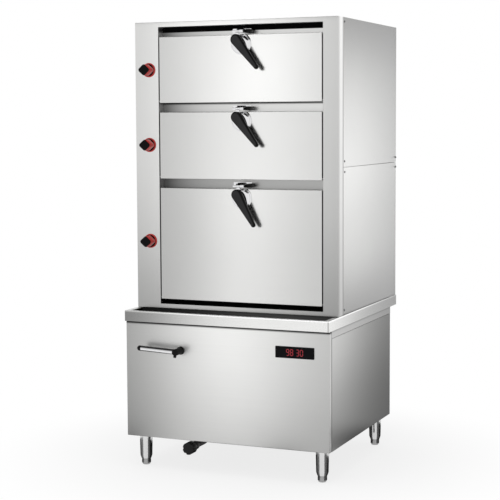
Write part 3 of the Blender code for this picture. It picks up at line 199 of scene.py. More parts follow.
STEEL = (0.600, 0.600, 0.592)
CHROME = (0.80, 0.80, 0.81)
BRASS = (0.52, 0.46, 0.32)
RED = (0.46, 0.022, 0.018)
GLASS = (0.004, 0.004, 0.005)
LEVER_FACE_SHEEN_GREY = (0.024, 0.024, 0.025)
NUMERAL_RED = (0.16, 0.006, 0.004, 1)
NUMERAL_LIGHT = (1.0, 0.05, 0.10, 1)
NUMERAL_GLOW = (0.18, 0.28)

GRAIN_ALONG = 1.3
GRAIN_ACROSS = 260.0
GRAIN_TONE = 0.01
GRAIN_DULLNESS = 0.012
GRAIN_RELIEF = 0.012
GRAIN_DEPTH = 0.0004
CLOUD_SCALE = 3.0
CLOUD_TONE = 0.015
SCRATCH_SCALE = (60, 60, 9)
SCRATCH_TONE = 0.95
SCRATCH_DULLNESS = 0.05
SCRATCH_RELIEF = 0.02
SCRATCH_DEPTH = 0.0003
WEAR_SCALE = 22.0
WEAR_TONE = 0.14
WEAR_SHINE = 0.05
WEAR_DULLNESS = 0.07
MOULD_DEPTH = 0.0002


def grey(tone):
    return (tone, tone, tone)


def brushed_steel(name, grain, tones=(), roughness=0.30, level=1.0, edge=1.0):
    """Brushed sheet.

    grain is the axis along which the brushing runs, and each of tones paints light and shade on the sheet
    along an axis.
    level sets how bright all of it is, and edge how bright it is at a glancing view.
    """
    material, tree, shader = blank_material(name)
    for _, _, _, steps in tones:
        level *= max(steps)
    stretch = [GRAIN_ACROSS] * 3
    stretch["XYZ".index(grain)] = GRAIN_ALONG
    streaks = noise(tree, place_on_piece(tree, stretch), scale=1.0, detail=4.0, roughness=0.6)
    clouds = noise(tree, place_on_piece(tree), CLOUD_SCALE)
    shade = multiply(
        tree,
        spread(tree, streaks, (1 - GRAIN_TONE) * level, (1 + GRAIN_TONE) * level),
        spread(tree, clouds, 1 - CLOUD_TONE, 1 + CLOUD_TONE),
    )
    for axis, low, high, steps in tones:
        brightest = max(steps)
        shares = [step / brightest for step in steps]
        shade = multiply(tree, shade, tones_along(tree, axis, low, high, shares))
    tree.links.new(tint(tree, shade, STEEL), shader.inputs["Base Color"])
    dullness = spread(tree, streaks, roughness - GRAIN_DULLNESS, roughness + GRAIN_DULLNESS)
    tree.links.new(dullness, shader.inputs["Roughness"])
    shader.inputs["Metallic"].default_value = 1.0
    shader.inputs["Specular Tint"].default_value = (*grey(edge), 1)
    add_bump(tree, shader, streaks, GRAIN_RELIEF, GRAIN_DEPTH)
    return material


def polished_metal(name, colour, roughness, tones=(), turn=0.0):
    """Bright metal with fine scratches."""
    material, tree, shader = blank_material(name)
    marks = noise(tree, place_on_piece(tree, SCRATCH_SCALE), scale=1.0, detail=5.0, roughness=0.65)
    shade = spread(tree, marks, SCRATCH_TONE, 1.0)
    for axis, low, high, steps in tones:
        shade = multiply(tree, shade, tones_along(tree, axis, low, high, steps, turn))
    tree.links.new(tint(tree, shade, colour), shader.inputs["Base Color"])
    dullness = spread(tree, marks, roughness, roughness + SCRATCH_DULLNESS)
    tree.links.new(dullness, shader.inputs["Roughness"])
    shader.inputs["Metallic"].default_value = 1.0
    add_bump(tree, shader, marks, SCRATCH_RELIEF, SCRATCH_DEPTH)
    return material


def moulded(name, colour, roughness, grain_size=900.0, texture=0.10, shine=0.5):
    """Moulded plastic or rubber with a fine mould texture."""
    material, tree, shader = blank_material(name)
    grain = noise(tree, place_on_piece(tree), grain_size, detail=2.0)
    wear = noise(tree, place_on_piece(tree), WEAR_SCALE, detail=4.0)
    shade = spread(tree, wear, 1 - WEAR_TONE, 1 + WEAR_TONE)
    tree.links.new(tint(tree, shade, colour), shader.inputs["Base Color"])
    dullness = spread(tree, wear, roughness - WEAR_SHINE, roughness + WEAR_DULLNESS)
    tree.links.new(dullness, shader.inputs["Roughness"])
    shader.inputs["Specular IOR Level"].default_value = shine
    add_bump(tree, shader, grain, texture, MOULD_DEPTH)
    return material


def lit_numerals(name):
    material, tree, shader = blank_material(name)
    shader.inputs["Base Color"].default_value = NUMERAL_RED
    shader.inputs["Emission Color"].default_value = NUMERAL_LIGHT
    flicker = noise(tree, place_on_piece(tree), scale=400.0, detail=2.0)
    tree.links.new(spread(tree, flicker, *NUMERAL_GLOW), shader.inputs["Emission Strength"])
    shader.inputs["Roughness"].default_value = 0.4
    return material


def smoked_glass(name):
    material, tree, shader = blank_material(name)
    smears = noise(tree, place_on_piece(tree, (1, 1, 2)), scale=30.0)
    shade = spread(tree, smears, low=0.8, high=1.2)
    tree.links.new(tint(tree, shade, GLASS), shader.inputs["Base Color"])
    tree.links.new(spread(tree, smears, low=0.05, high=0.12), shader.inputs["Roughness"])
    shader.inputs["Specular IOR Level"].default_value = 0.05
    return material


def dress(material, *names):
    """Gives CAD nodes their finish."""
    for name in names:
        mesh = nodes[name].data
        mesh.materials.clear()
        mesh.materials.append(material)


# Sheet metal. Tones are factors on the steel's colour, at even steps along an axis, and are painted light and
# shade: painted highlights, painted reflections and painted shadows

PANEL_FOOT_SHADOW = 0.010
WORKTOP_EDGE_LIGHT_AND_SHADE = 0.008
BASE_TOP_SHADOW = 0.014
BASE_CORNER_SHADOW = 0.010
LEFT_RAIL_SHADOW = 0.46
DOOR_FOOT_SHADOW = (-0.010, 0.014)


def shade_over(node, axis, *tones):
    """Painted light and shade over the whole length of a node."""
    low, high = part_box(node)
    side = "XYZ".index(axis)
    return axis, low[side], high[side], tones


def shade_end(node, axis, depth, *tones):
    """Painted light and shade over the first depth of a node, or over its last where depth is negative."""
    _, low, high, _ = shade_over(node, axis)
    return (axis, low, low + depth, tones) if depth > 0 else (axis, high + depth, high, tones)


# Painted reflections on the side panels: lighter towards the front, darker towards the foot of each panel,
# and a painted shadow along the lower panel's foot
def side_panel_steel(course, *tones):
    node = f"side_panel_{course}_right"
    shades = [shade_over(node, "Y", 1.20, 1.0, 0.66), shade_over(node, "Z", *tones)]
    if course == "lower":
        shades.append(shade_end(node, "Z", PANEL_FOOT_SHADOW, 0.2, 0.9, 1.0))
    return brushed_steel(f"brushed {course} side", "Z", shades, roughness=0.26)


# Painted highlights across the doors, brightest in the middle, and on the bottom door painted shade towards
# its foot
door_shades = {
    1: [shade_over("door_1_skin", "X", 1.08, 1.45, 1.80, 1.80, 1.32)],
    2: [shade_over("door_2_skin", "X", 0.98, 1.30, 1.58, 1.52, 1.24)],
    3: [
        shade_over("door_3_skin", "X", 0.82, 1.12, 1.56, 1.30, 1.06),
        shade_over("door_3_skin", "Z", 0.96, 1.0, 1.06),
    ],
}
door_steel = {
    number: brushed_steel(f"brushed {place} door", "X", door_shades[number], roughness=0.2, level=0.9)
    for number, place in zip(DOORS, ("top", "middle", "bottom"))
}
# Painted light and shade on the frame: a painted highlight across the middle, painted shade towards the
# bottom, and a painted highlight on the side returns with a painted shadow at their back edge
frame_steel = brushed_steel(
    "brushed front frame",
    "Z",
    [
        shade_over("front_frame", "X", 0.98, 1.46, 1.58, 1.25, 0.89),
        shade_over("front_frame", "Z", 0.52, 0.84, 0.98, 1.05, 1.08),
        shade_over("front_frame", "Y", 1.0, 1.0, 1.45, 1.5, 1.5, 1.3, 0.3),
    ],
)
side_steel = {
    "upper": side_panel_steel("upper", 1.22, 1.14, 0.90, 0.42),
    "lower": side_panel_steel("lower", 0.40, 0.96, 1.10, 1.30),
}
# Painted light and shade on the worktop: darker towards the left and the back, a painted shadow line near its
# right edge, and a painted highlight along its top edges
worktop_steel = brushed_steel(
    "brushed worktop",
    "X",
    [
        shade_over("worktop", "X", 0.37, 0.94, 1.62, 1.66, 1.66),
        shade_over("worktop", "Y", 1.0, 0.60, 0.36, 0.16),
        shade_end("worktop", "X", -WORKTOP_EDGE_LIGHT_AND_SHADE, 1.0, 0.2, 1.0),
        shade_end("worktop", "Z", -WORKTOP_EDGE_LIGHT_AND_SHADE, 1.0, 1.1, 2.2, 2.2),
    ],
    roughness=0.24,
)
# Painted shade: the trough steel is painted nearly black, darkest at the left, and its glancing reflection is
# dimmed too
trough_steel = brushed_steel(
    "shaded trough",
    "X",
    [shade_over("worktop", "X", 0.01, 0.03, 0.09, 0.12, 0.06)],
    roughness=0.4,
    edge=0.05,
)
# Painted light and shade on the base front: a painted highlight across the middle, darker towards the bottom,
# a painted shadow under the worktop's edge, and a painted highlight on the side returns with a painted shadow
# line at their back
base_front_steel = brushed_steel(
    "brushed base front",
    "X",
    [
        shade_over("base_front_panel", "X", 0.52, 1.03, 1.44, 1.16, 0.80),
        shade_over("base_front_panel", "Z", 0.78, 1.0, 1.13),
        shade_end("base_front_panel", "Z", -BASE_TOP_SHADOW, 1.0, 0.9, 0.15, 0.0, 0.0),
        shade_over("base_front_panel", "Y", 1.0, 1.0, 1.15, 1.15, 0.4),
    ],
    roughness=0.36,
)
# Painted reflections on the base sides: darker towards the back and the bottom, a painted shadow at the front
# corner, and a dimmed glancing reflection
base_side_steel = brushed_steel(
    "brushed base side",
    "Y",
    [
        shade_over("base_shell", "Y", 1.12, 0.74, 0.46),
        shade_end("base_shell", "Y", BASE_CORNER_SHADOW, 0.3, 1.0, 1.0),
        shade_over("base_shell", "Z", 0.76, 1.04, 1.72),
    ],
    level=0.84,
    edge=0.4,
)
band_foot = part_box("base_shell")[1].z + SHEET
band_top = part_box("worktop")[0].z + RUNNING
# Painted reflections on the band, darker towards the back, and a painted shadow under the worktop's edge
# along its top
band_steel = brushed_steel(
    "brushed band",
    "Y",
    [
        shade_over("base_shell", "Y", 0.90, 0.62, 0.34),
        ("Z", band_foot, band_top, (1.0, 1.0, 1.0, 1.0, 0.9, 0.2)),
    ],
)
rail_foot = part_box("door_3_skin")[1].z
rail_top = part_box("chamber_liner")[1].z
door_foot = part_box("door_1_skin")[0].z
# Painted light and shade on the rails: lighter higher up, a painted shadow over their left end, and a painted
# shadow line on the rail under the top door
rail_steel = brushed_steel(
    "brushed rails",
    "X",
    [
        ("Z", rail_foot, rail_top, (0.78, 1.04, 1.56, 1.50, 1.40)),
        shade_end("chamber_liner", "X", LEFT_RAIL_SHADOW, 0.04, 0.42, 0.70, 0.86, 0.95, 1.0, 1.0),
        ("Z", door_foot + DOOR_FOOT_SHADOW[0], door_foot + DOOR_FOOT_SHADOW[1], (1.0, 0.0, 0.0, 0.0, 1.0)),
    ],
)

# Bar of the power lever, with painted reflections across its thickness: dark along its top and bottom, bright
# in the middle
BAR_TILT = math.radians(2.5)
BAR_RADIUS = 0.011
bar_pivot = joint_place("power_lever_turn")
bar_middle_height = bar_pivot.x * math.sin(BAR_TILT) + bar_pivot.z * math.cos(BAR_TILT)
bar_low, bar_high = bar_middle_height - BAR_RADIUS, bar_middle_height + BAR_RADIUS
bar_chrome = polished_metal(
    "bar chrome with painted reflections",
    CHROME,
    roughness=0.08,
    tones=[("Z", bar_low, bar_high, (0.02, 0.35, 1.0, 1.0, 1.0, 0.75, 0.15, 0.08, 0.02))],
    turn=-BAR_TILT,
)

# Bright metal, rubber, plastic and glass
chrome = polished_metal("bright chrome", CHROME, roughness=0.05)
tube_steel = polished_metal("polished tube", grey(0.72), roughness=0.10)
foot_steel = polished_metal("turned foot steel", grey(0.38), roughness=0.22)
screw_steel = polished_metal("screw steel", grey(0.45), roughness=0.25)
dark_screw = polished_metal("dark screw steel", grey(0.16), roughness=0.35)
brass = polished_metal("nickelled brass", BRASS, roughness=0.24)
rubber = moulded("black seal rubber", grey(0.0015), roughness=0.62, grain_size=300.0, texture=0.2, shine=0.02)
black = moulded("black moulded plastic", grey(0.003), roughness=0.30, shine=0.10)
valve_black = moulded("black valve knob", grey(0.004), roughness=0.32, shine=0.20)
knob_black = moulded("black knob face", grey(0.002), roughness=0.22, shine=0.08)
# The lever face's grain is real, and its lighter grey is partly a painted sheen of the flat face
lever_face_grain_and_sheen = moulded(
    "grained lever face with painted sheen", LEVER_FACE_SHEEN_GREY, roughness=0.42, grain_size=700.0, texture=0.35, shine=0.12
)
red = moulded("red plastic", RED, roughness=0.34, shine=0.3)
glass = smoked_glass("smoked display glass")
numeral_glow = lit_numerals("lit red numerals")

# Finishes of the CAD nodes
dress(brushed_steel("brushed top", "X"), "top_panel")
dress(brushed_steel("plain back", "Z", roughness=0.42, level=0.92), "back_panel")
dress(brushed_steel("plain boiler sheet", "X", roughness=0.45, level=0.9), "water_tank", "power_module")
dress(rail_steel, "chamber_liner")
dress(band_steel, "base_chassis")
dress(worktop_steel, "worktop")
dress(frame_steel, "front_frame")
dress(base_front_steel, "base_front_panel")
dress(base_side_steel, "base_shell")
dress(brass, "steam_manifold")
dress(rubber, "liner_seal")
dress(black, "drain_valve_body", "induction_coil", "power_lever_hub")
dress(chrome, "power_lever_bar")
dress(valve_black, "drain_valve_knob")
dress(glass, "display_module")
inner_steel = brushed_steel("brushed inner panel", "X", roughness=0.36)
for number in DOORS:
    dress(door_steel[number], f"door_{number}_skin")
    dress(inner_steel, f"door_{number}_liner", f"rack_{number}")
    dress(rubber, f"door_{number}_gasket")
    dress(tube_steel, f"door_{number}_hinge_rod")
    dress(chrome, f"latch_{number}_housing", f"latch_{number}_tongue", f"latch_{number}_keeper")
    dress(black, f"latch_{number}_lever")
    dress(red, f"steam_knob_{number}")
for course in COURSES:
    dress(side_steel[course], f"side_panel_{course}_left", f"side_panel_{course}_right")
for corner in CORNERS:
    dress(tube_steel, "leg_" + corner, "foot_" + corner)


# Shaping helpers


def of_kind(items, kind):
    return [item for item in items if isinstance(item, kind)]


def verts_of(items):
    return of_kind(items, bmesh.types.BMVert)


def edges_of(items):
    return of_kind(items, bmesh.types.BMEdge)


def faces_of(items):
    return of_kind(items, bmesh.types.BMFace)


def new_piece(name, body, shells, replaces=()):
    """One piece from several closed shells, each given as (shape function, finish)."""
    whole = bmesh.new()
    finishes = []
    for shape, finish in shells:
        if finish not in finishes:
            finishes.append(finish)
        bm = bmesh.new()
        shape(bm)
        bmesh.ops.remove_doubles(bm, verts=bm.verts, dist=WELD)
        bmesh.ops.recalc_face_normals(bm, faces=bm.faces)
        for face in bm.faces:
            face.material_index = finishes.index(finish)
        shell = bpy.data.meshes.new("shell")
        bm.to_mesh(shell)
        bm.free()
        whole.from_mesh(shell)
        bpy.data.meshes.remove(shell)
    mesh = bpy.data.meshes.new(name)
    whole.to_mesh(mesh)
    whole.free()
    for finish in finishes:
        mesh.materials.append(finish)
    mesh.shade_smooth()
    mesh.set_sharp_from_angle(angle=SMOOTH_ANGLE)
    piece = bpy.data.objects.new(name, mesh)
    scene.collection.objects.link(piece)
    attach(piece, body)
    if replaces:
        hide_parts(*replaces)
    return piece


def soften(bm, width, segments=3):
    """Rounds the sharp edges of a shape."""
    bmesh.ops.remove_doubles(bm, verts=bm.verts, dist=WELD)
    bmesh.ops.recalc_face_normals(bm, faces=bm.faces)
    sharp = [
        edge
        for edge in bm.edges
        if len(edge.link_faces) == 2 and edge.calc_face_angle() > SMOOTH_ANGLE
    ]
    bmesh.ops.bevel(
        bm,
        geom=sharp,
        offset=width,
        segments=segments,
        profile=0.5,
        affect="EDGES",
        clamp_overlap=True,
        material=-1,
    )


def lathe(bm, profile, centre, axis, steps=ROUND_STEPS):
    """Turns (radius, distance along the axis) points round an axis through centre."""
    centre = Vector(centre)
    axis = Vector(axis).normalized()
    side = axis.orthogonal().normalized()
    ring = [bm.verts.new(centre + side * radius + axis * along) for radius, along in profile]
    line = [bm.edges.new(pair) for pair in zip(ring, ring[1:])]
    bmesh.ops.spin(
        bm,
        geom=ring + line,
        cent=centre,
        axis=axis,
        angle=2 * math.pi,
        steps=steps,
        use_merge=True,
        use_duplicate=False,
    )


def rod(radius, start, end):
    """Lathe profile of a plain round rod."""
    return [(0, start), (radius, start), (radius, end), (0, end)]


def plate(bm, outline, back, forward):
    """A flat piece with an outline in X and Z, from the depth back to the depth forward."""
    face = bm.faces.new([bm.verts.new((x, back, z)) for x, z in outline])
    grown = bmesh.ops.extrude_face_region(bm, geom=[face])["geom"]
    bmesh.ops.translate(bm, vec=(0, forward - back, 0), verts=verts_of(grown))


def box_shape(bm, low, high):
    made = bmesh.ops.create_cube(bm, size=1)
    low, high = Vector(low), Vector(high)
    bmesh.ops.scale(bm, vec=high - low, verts=made["verts"])
    bmesh.ops.translate(bm, vec=(low + high) / 2, verts=made["verts"])


def block(low, high, edge, segments=3):
    """The shape function of a box with rounded edges."""

    def shape(bm):
        box_shape(bm, low, high)
        soften(bm, edge, segments)

    return shape


def arc_points(centre, radius, start, end, steps):
    """Points of an arc in X and Z, from one angle to another in degrees."""
    points = []
    for i in range(steps + 1):
        angle = math.radians(start + (end - start) * i / steps)
        points.append((centre[0] + radius * math.cos(angle), centre[1] + radius * math.sin(angle)))
    return points


def rounded_outline(low_x, low_z, high_x, high_z, radius, steps=6):
    corners = (
        ((high_x - radius, high_z - radius), 0),
        ((low_x + radius, high_z - radius), 90),
        ((low_x + radius, low_z + radius), 180),
        ((high_x - radius, low_z + radius), 270),
    )
    return [p for centre, start in corners for p in arc_points(centre, radius, start, start + 90, steps)]


def teardrop_outline(head_radius, tip_radius, length, steps=14):
    """Two round ends joined by straight sides, hanging down from a head at the origin."""
    tilt = math.degrees(math.asin((head_radius - tip_radius) / length))
    head = arc_points((0, 0), head_radius, -tilt, 180 + tilt, steps)
    return head + arc_points((0, -length), tip_radius, 180 + tilt, 360 - tilt, steps)


def turned_to(points, degrees, place):
    """Turns an outline counter-clockwise and moves it to its place."""
    angle = math.radians(degrees)
    return [
        (
            place[0] + x * math.cos(angle) - z * math.sin(angle),
            place[1] + x * math.sin(angle) + z * math.cos(angle),
        )
        for x, z in points
    ]


# Washer face and dome of a screw head, as shares of its radius
SCREW_WASHER = 0.25
SCREW_DOME = 0.4
SCREW_DOME_STEPS = 4


def pan_head_screw(bm, place, axis, radius):
    """Domed screw head with a washer face, seated on a surface at place."""
    profile = [(0, 0), (radius, 0)]
    for i in range(SCREW_DOME_STEPS):
        angle = math.pi / 2 * i / SCREW_DOME_STEPS
        height = radius * (SCREW_WASHER + SCREW_DOME * math.sin(angle))
        profile.append((radius * math.cos(angle), height))
    profile.append((0, radius * (SCREW_WASHER + SCREW_DOME)))
    lathe(bm, profile, place, axis, steps=16)


# Latches

CABINET_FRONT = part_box("front_frame")[0].y

# Steps of the escutcheon, as shares of its radius and of its thickness
ESCUTCHEON_STEPS = ((1.0, 0.20), (0.90, 0.30), (0.88, 0.55), (0.74, 0.86), (0.56, 1.0))
ESCUTCHEON_EDGE = 0.0012
LEVER_LEANS = (38.5, 38, 31)
LEVER_HEAD = 0.022
LEVER_TIP = 0.009
LEVER_LENGTH = 0.142
LEVER_EDGE = 0.0045
LEVER_THINNING = 0.008
LEVER_FACE_MARGIN = 0.0060
LEVER_TIP_MARGIN = 0.0036
LEVER_FACE_SHORTER = 0.004
LEVER_FACE_SHIFT = 0.0015
LEVER_FACE_PROUD = 0.0004
LEVER_FACE_THICKNESS = 0.002
SPINDLE_RADIUS = 0.007
SPINDLE_LENGTH = 0.012
CAM_HEAD = 0.015
CAM_TIP = 0.006
CAM_LENGTH = 0.028
CAM_EDGE = 0.0008

# Keeper, from the left end, the foot or the back of its place
EAR_THICKNESS = 0.003
EAR_SHORTER = 0.010
EAR_CORNER = 0.003
EAR_EDGE = 0.0005
POST_LEFT = 0.057
POST_RIGHT = 0.073
POST_FOOT = 0.0015
POST_TOP = 0.013
KEEPER_BAR_LEFT = 0.025
KEEPER_BAR_FOOT = 0.003
KEEPER_BAR_TOP = 0.0115
KEEPER_BAR_INSET = 0.0008
KEEPER_BAR_EDGE = 0.0018
BUFFER_GAP = 0.001
LEFT_BUFFER_START = 0.033
LEFT_BUFFER_REACH = 0.040
LEFT_BUFFER_FOOT = 0.0095
BUFFER_BELOW_TOP = 0.0015
RIGHT_CHEEK_REACH = 0.046
RIGHT_CHEEK_TOP = 0.015
BLOCK_EDGE = 0.0015
CHEEK_CAP_THICKNESS = 0.002
CHEEK_CAP_EDGE = 0.0006
EAR_SCREW_PLACE = 0.014
EAR_SCREW_RADIUS = 0.0042


def make_latch_housing(number):
    """Chrome escutcheon: a flange, a stepped dome and a flat top under the door's edge."""
    node = f"latch_{number}_housing"
    low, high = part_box(node)
    radius = (high.x - low.x) / 2
    thickness = high.y - low.y
    centre = ((low.x + high.x) / 2, high.y, low.z + radius)

    def dome(bm):
        steps = [(wide * radius, deep * thickness) for wide, deep in ESCUTCHEON_STEPS]
        lathe(bm, [(0, 0), (radius, 0), *steps, (0, thickness)], centre, FORWARD, steps=64)
        soften(bm, ESCUTCHEON_EDGE, segments=2)
        cut = bmesh.ops.bisect_plane(
            bm,
            geom=bm.verts[:] + bm.edges[:] + bm.faces[:],
            plane_co=(0, 0, high.z),
            plane_no=UP,
            clear_outer=True,
        )
        bmesh.ops.holes_fill(bm, edges=edges_of(cut["geom_cut"]))

    new_piece(node + "_escutcheon", f"door_{number}", [(dome, chrome)], [node])


def make_latch_lever(number, lean):
    """Black tapered lever with broken edges, a textured face in a lighter grey that is partly painted sheen,
    and its spindle.
    """
    node = f"latch_{number}_lever"
    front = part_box(node)[0].y
    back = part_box(f"latch_{number}_tongue")[0].y - SEAT
    pivot = joint_place(f"latch_{number}_pivot")

    def body(bm):
        outline = teardrop_outline(LEVER_HEAD, LEVER_TIP, LEVER_LENGTH)
        plate(bm, turned_to(outline, lean, (pivot.x, pivot.z)), back, front + LEVER_FACE_PROUD)
        along = Vector((math.sin(math.radians(lean)), 0, -math.cos(math.radians(lean))))
        for vert in bm.verts:
            reach = (vert.co - Vector((pivot.x, vert.co.y, pivot.z))).dot(along)
            share = max(0.0, min(1.0, reach / LEVER_LENGTH))
            if vert.co.y > (back + front) / 2:
                vert.co.y -= share * LEVER_THINNING
        soften(bm, LEVER_EDGE, segments=4)

    def face(bm):
        outline = teardrop_outline(
            LEVER_HEAD - LEVER_FACE_MARGIN, LEVER_TIP - LEVER_TIP_MARGIN, LEVER_LENGTH - LEVER_FACE_SHORTER
        )
        points = turned_to(outline, lean, (pivot.x - LEVER_FACE_SHIFT, pivot.z))
        plate(bm, points, front + LEVER_FACE_THICKNESS, front)

    def spindle(bm):
        lathe(bm, rod(SPINDLE_RADIUS, 0, SPINDLE_LENGTH), (pivot.x, back, pivot.z), -FORWARD)

    shells = [(body, black), (face, lever_face_grain_and_sheen), (spindle, chrome)]
    new_piece(node + "_grip", f"latch_{number}", shells, [node])


def make_latch_tongue(number):
    """Chrome cam plate that turns with the lever and hooks behind the keeper."""
    node = f"latch_{number}_tongue"
    low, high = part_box(node)
    pivot = joint_place(f"latch_{number}_pivot")

    def cam(bm):
        outline = teardrop_outline(CAM_HEAD, CAM_TIP, CAM_LENGTH, steps=10)
        plate(bm, turned_to(outline, 180, (pivot.x, pivot.z)), high.y, low.y)
        soften(bm, CAM_EDGE, segments=2)

    new_piece(node + "_cam", f"latch_{number}", [(cam, chrome)], [node])


def make_keeper(number):
    """Keeper on the rail: screwed ears, a black buffer, a right cheek in black as painted shade, and a chrome
    bar that the cam turns behind.
    """
    node = f"latch_{number}_keeper"
    low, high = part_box(node)
    ear_front = high.y - EAR_THICKNESS
    against_ear = ear_front - TOUCH
    cam_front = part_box(f"latch_{number}_tongue")[0].y
    post_left, post_right = low.x + POST_LEFT, low.x + POST_RIGHT
    cheek_left, cheek_right = post_right + BUFFER_GAP, high.x - RUNNING
    cheek_front = high.y - RIGHT_CHEEK_REACH
    cap_foot = low.z + RIGHT_CHEEK_TOP + TOUCH

    def ear_plate(bm):
        outline = rounded_outline(low.x, low.z, high.x - EAR_SHORTER, high.z, EAR_CORNER)
        plate(bm, outline, high.y, ear_front)
        soften(bm, EAR_EDGE, segments=2)

    post = block(
        (post_left, low.y, low.z + POST_FOOT), (post_right, against_ear, low.z + POST_TOP), BLOCK_EDGE
    )
    bar = block(
        (low.x + KEEPER_BAR_LEFT, low.y + KEEPER_BAR_INSET, low.z + KEEPER_BAR_FOOT),
        (post_left - TOUCH, cam_front - RUNNING, low.z + KEEPER_BAR_TOP),
        KEEPER_BAR_EDGE,
    )
    left_buffer = block(
        (low.x + LEFT_BUFFER_START, high.y - LEFT_BUFFER_REACH, low.z + LEFT_BUFFER_FOOT),
        (post_left - BUFFER_GAP, against_ear, high.z - BUFFER_BELOW_TOP),
        BLOCK_EDGE,
    )
    # The right cheek and its cap are black as painted shade on the keeper's right end
    right_cheek = block(
        (cheek_left, cheek_front, low.z + BUFFER_GAP),
        (cheek_right, against_ear, low.z + RIGHT_CHEEK_TOP),
        BLOCK_EDGE,
    )
    cheek_cap = block(
        (cheek_left + RUNNING, cheek_front + BUFFER_GAP, cap_foot),
        (cheek_right - RUNNING, against_ear, cap_foot + CHEEK_CAP_THICKNESS),
        CHEEK_CAP_EDGE,
        segments=2,
    )

    def screw(bm):
        place = (low.x + EAR_SCREW_PLACE, ear_front, (low.z + high.z) / 2)
        pan_head_screw(bm, place, FORWARD, EAR_SCREW_RADIUS)

    shells = [
        (ear_plate, chrome),
        (post, chrome),
        (bar, chrome),
        (left_buffer, black),
        (right_cheek, black),
        (cheek_cap, dark_screw),
        (screw, dark_screw),
    ]
    new_piece(node + "_fitted", "root", shells, [node])


def make_latches():
    for number, lean in zip(DOORS, LEVER_LEANS):
        make_latch_housing(number)
        make_latch_lever(number, lean)
        make_latch_tongue(number)
        make_keeper(number)


# Steam knobs

ROSE_THICKNESS = 0.009
ROSE_SHOULDER = 0.70
ROSE_FACE = 0.94
ROSE_EDGE = 0.0008
RING_SHARE = 0.87
RING_THICKNESS = 0.001
GRIP_HALF = (0.0285, 0.0265)
GRIP_ROUNDING = 0.009
GRIP_OFF_ROSE = 0.0012
GRIP_BEHIND_CAP = 0.0022
GRIP_FLARE = 0.02
CAP_HALF = (0.0280, 0.0260)
CAP_ROUNDING = 0.0086
CAP_THICKNESS = 0.0030
KNOB_EDGE = 0.0012
KNOB_SHAFT_RADIUS = 0.005
DIAMOND_CORNERS = ((-45, 1, 0), (45, 0, 1), (135, -1, 0), (225, 0, -1))


def diamond(centre, half, rounding):
    """A square on its point, half as wide and high as given, with rounded corners."""
    width, height = half
    inset = rounding * math.sqrt(2)
    points = []
    for start, x, z in DIAMOND_CORNERS:
        corner = (centre.x + x * (width - inset), centre.z + z * (height - inset))
        points += arc_points(corner, rounding, start, start + 90, 5)
    return points


def make_knobs():
    """Steam knobs: red rose with a dark ring, red four-sided grip with a black face."""
    for number in DOORS:
        node = f"steam_knob_{number}"
        low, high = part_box(node)
        centre = joint_place(f"knob_{number}_turn")
        seat = CABINET_FRONT - RUNNING
        foot = (centre.x, seat, centre.z)
        radius = (high.x - low.x) / 2
        grip_back = seat - ROSE_THICKNESS - GRIP_OFF_ROSE

        def rose(bm):
            profile = [
                (0, 0),
                (radius, 0),
                (radius, ROSE_SHOULDER * ROSE_THICKNESS),
                (ROSE_FACE * radius, ROSE_THICKNESS),
                (0, ROSE_THICKNESS),
            ]
            lathe(bm, profile, foot, FORWARD)
            soften(bm, ROSE_EDGE, segments=2)

        def ring(bm):
            start = ROSE_THICKNESS + TOUCH
            lathe(bm, rod(RING_SHARE * radius, start, start + RING_THICKNESS), foot, FORWARD)

        def grip(bm):
            plate(bm, diamond(centre, GRIP_HALF, GRIP_ROUNDING), grip_back, low.y + GRIP_BEHIND_CAP)
            for vert in bm.verts:
                if vert.co.y > grip_back - WELD:
                    vert.co.x += (vert.co.x - centre.x) * GRIP_FLARE
                    vert.co.z += (vert.co.z - centre.z) * GRIP_FLARE / 2
            soften(bm, KNOB_EDGE, segments=2)

        def cap(bm):
            plate(bm, diamond(centre, CAP_HALF, CAP_ROUNDING), low.y + CAP_THICKNESS, low.y)
            soften(bm, KNOB_EDGE, segments=3)

        def shaft(bm):
            lathe(bm, rod(KNOB_SHAFT_RADIUS, 0, high.y - seat), foot, -FORWARD, steps=24)

        shells = [(rose, red), (ring, rubber), (grip, red), (cap, knob_black), (shaft, chrome)]
        piece = new_piece(node + "_turned", f"knob_{number}", shells, [node])
        piece.visible_glossy = False


# Legs and levelling feet

STUD_HOLE = 0.0085
STUD_RADIUS = 0.008
LEG_TOP_RADIUS = 0.0275
LEG_FLANGE = 0.003
LEG_FLANGE_EDGE = 0.0006
# The leg's shoulder and the foot's sole, as radius and height
LEG_SHOULDER = ((0.0205, 0), (0.0211, 0.002), (0.0244, 0.011), (0.0252, 0.015))
FOOT_SOLE = ((0, 0), (0.0145, 0), (0.0158, 0.001))
FOOT_TAPER = ((0.0012, 0.006), (0, 0.0075))
FOOT_CHAMFER = 0.0015


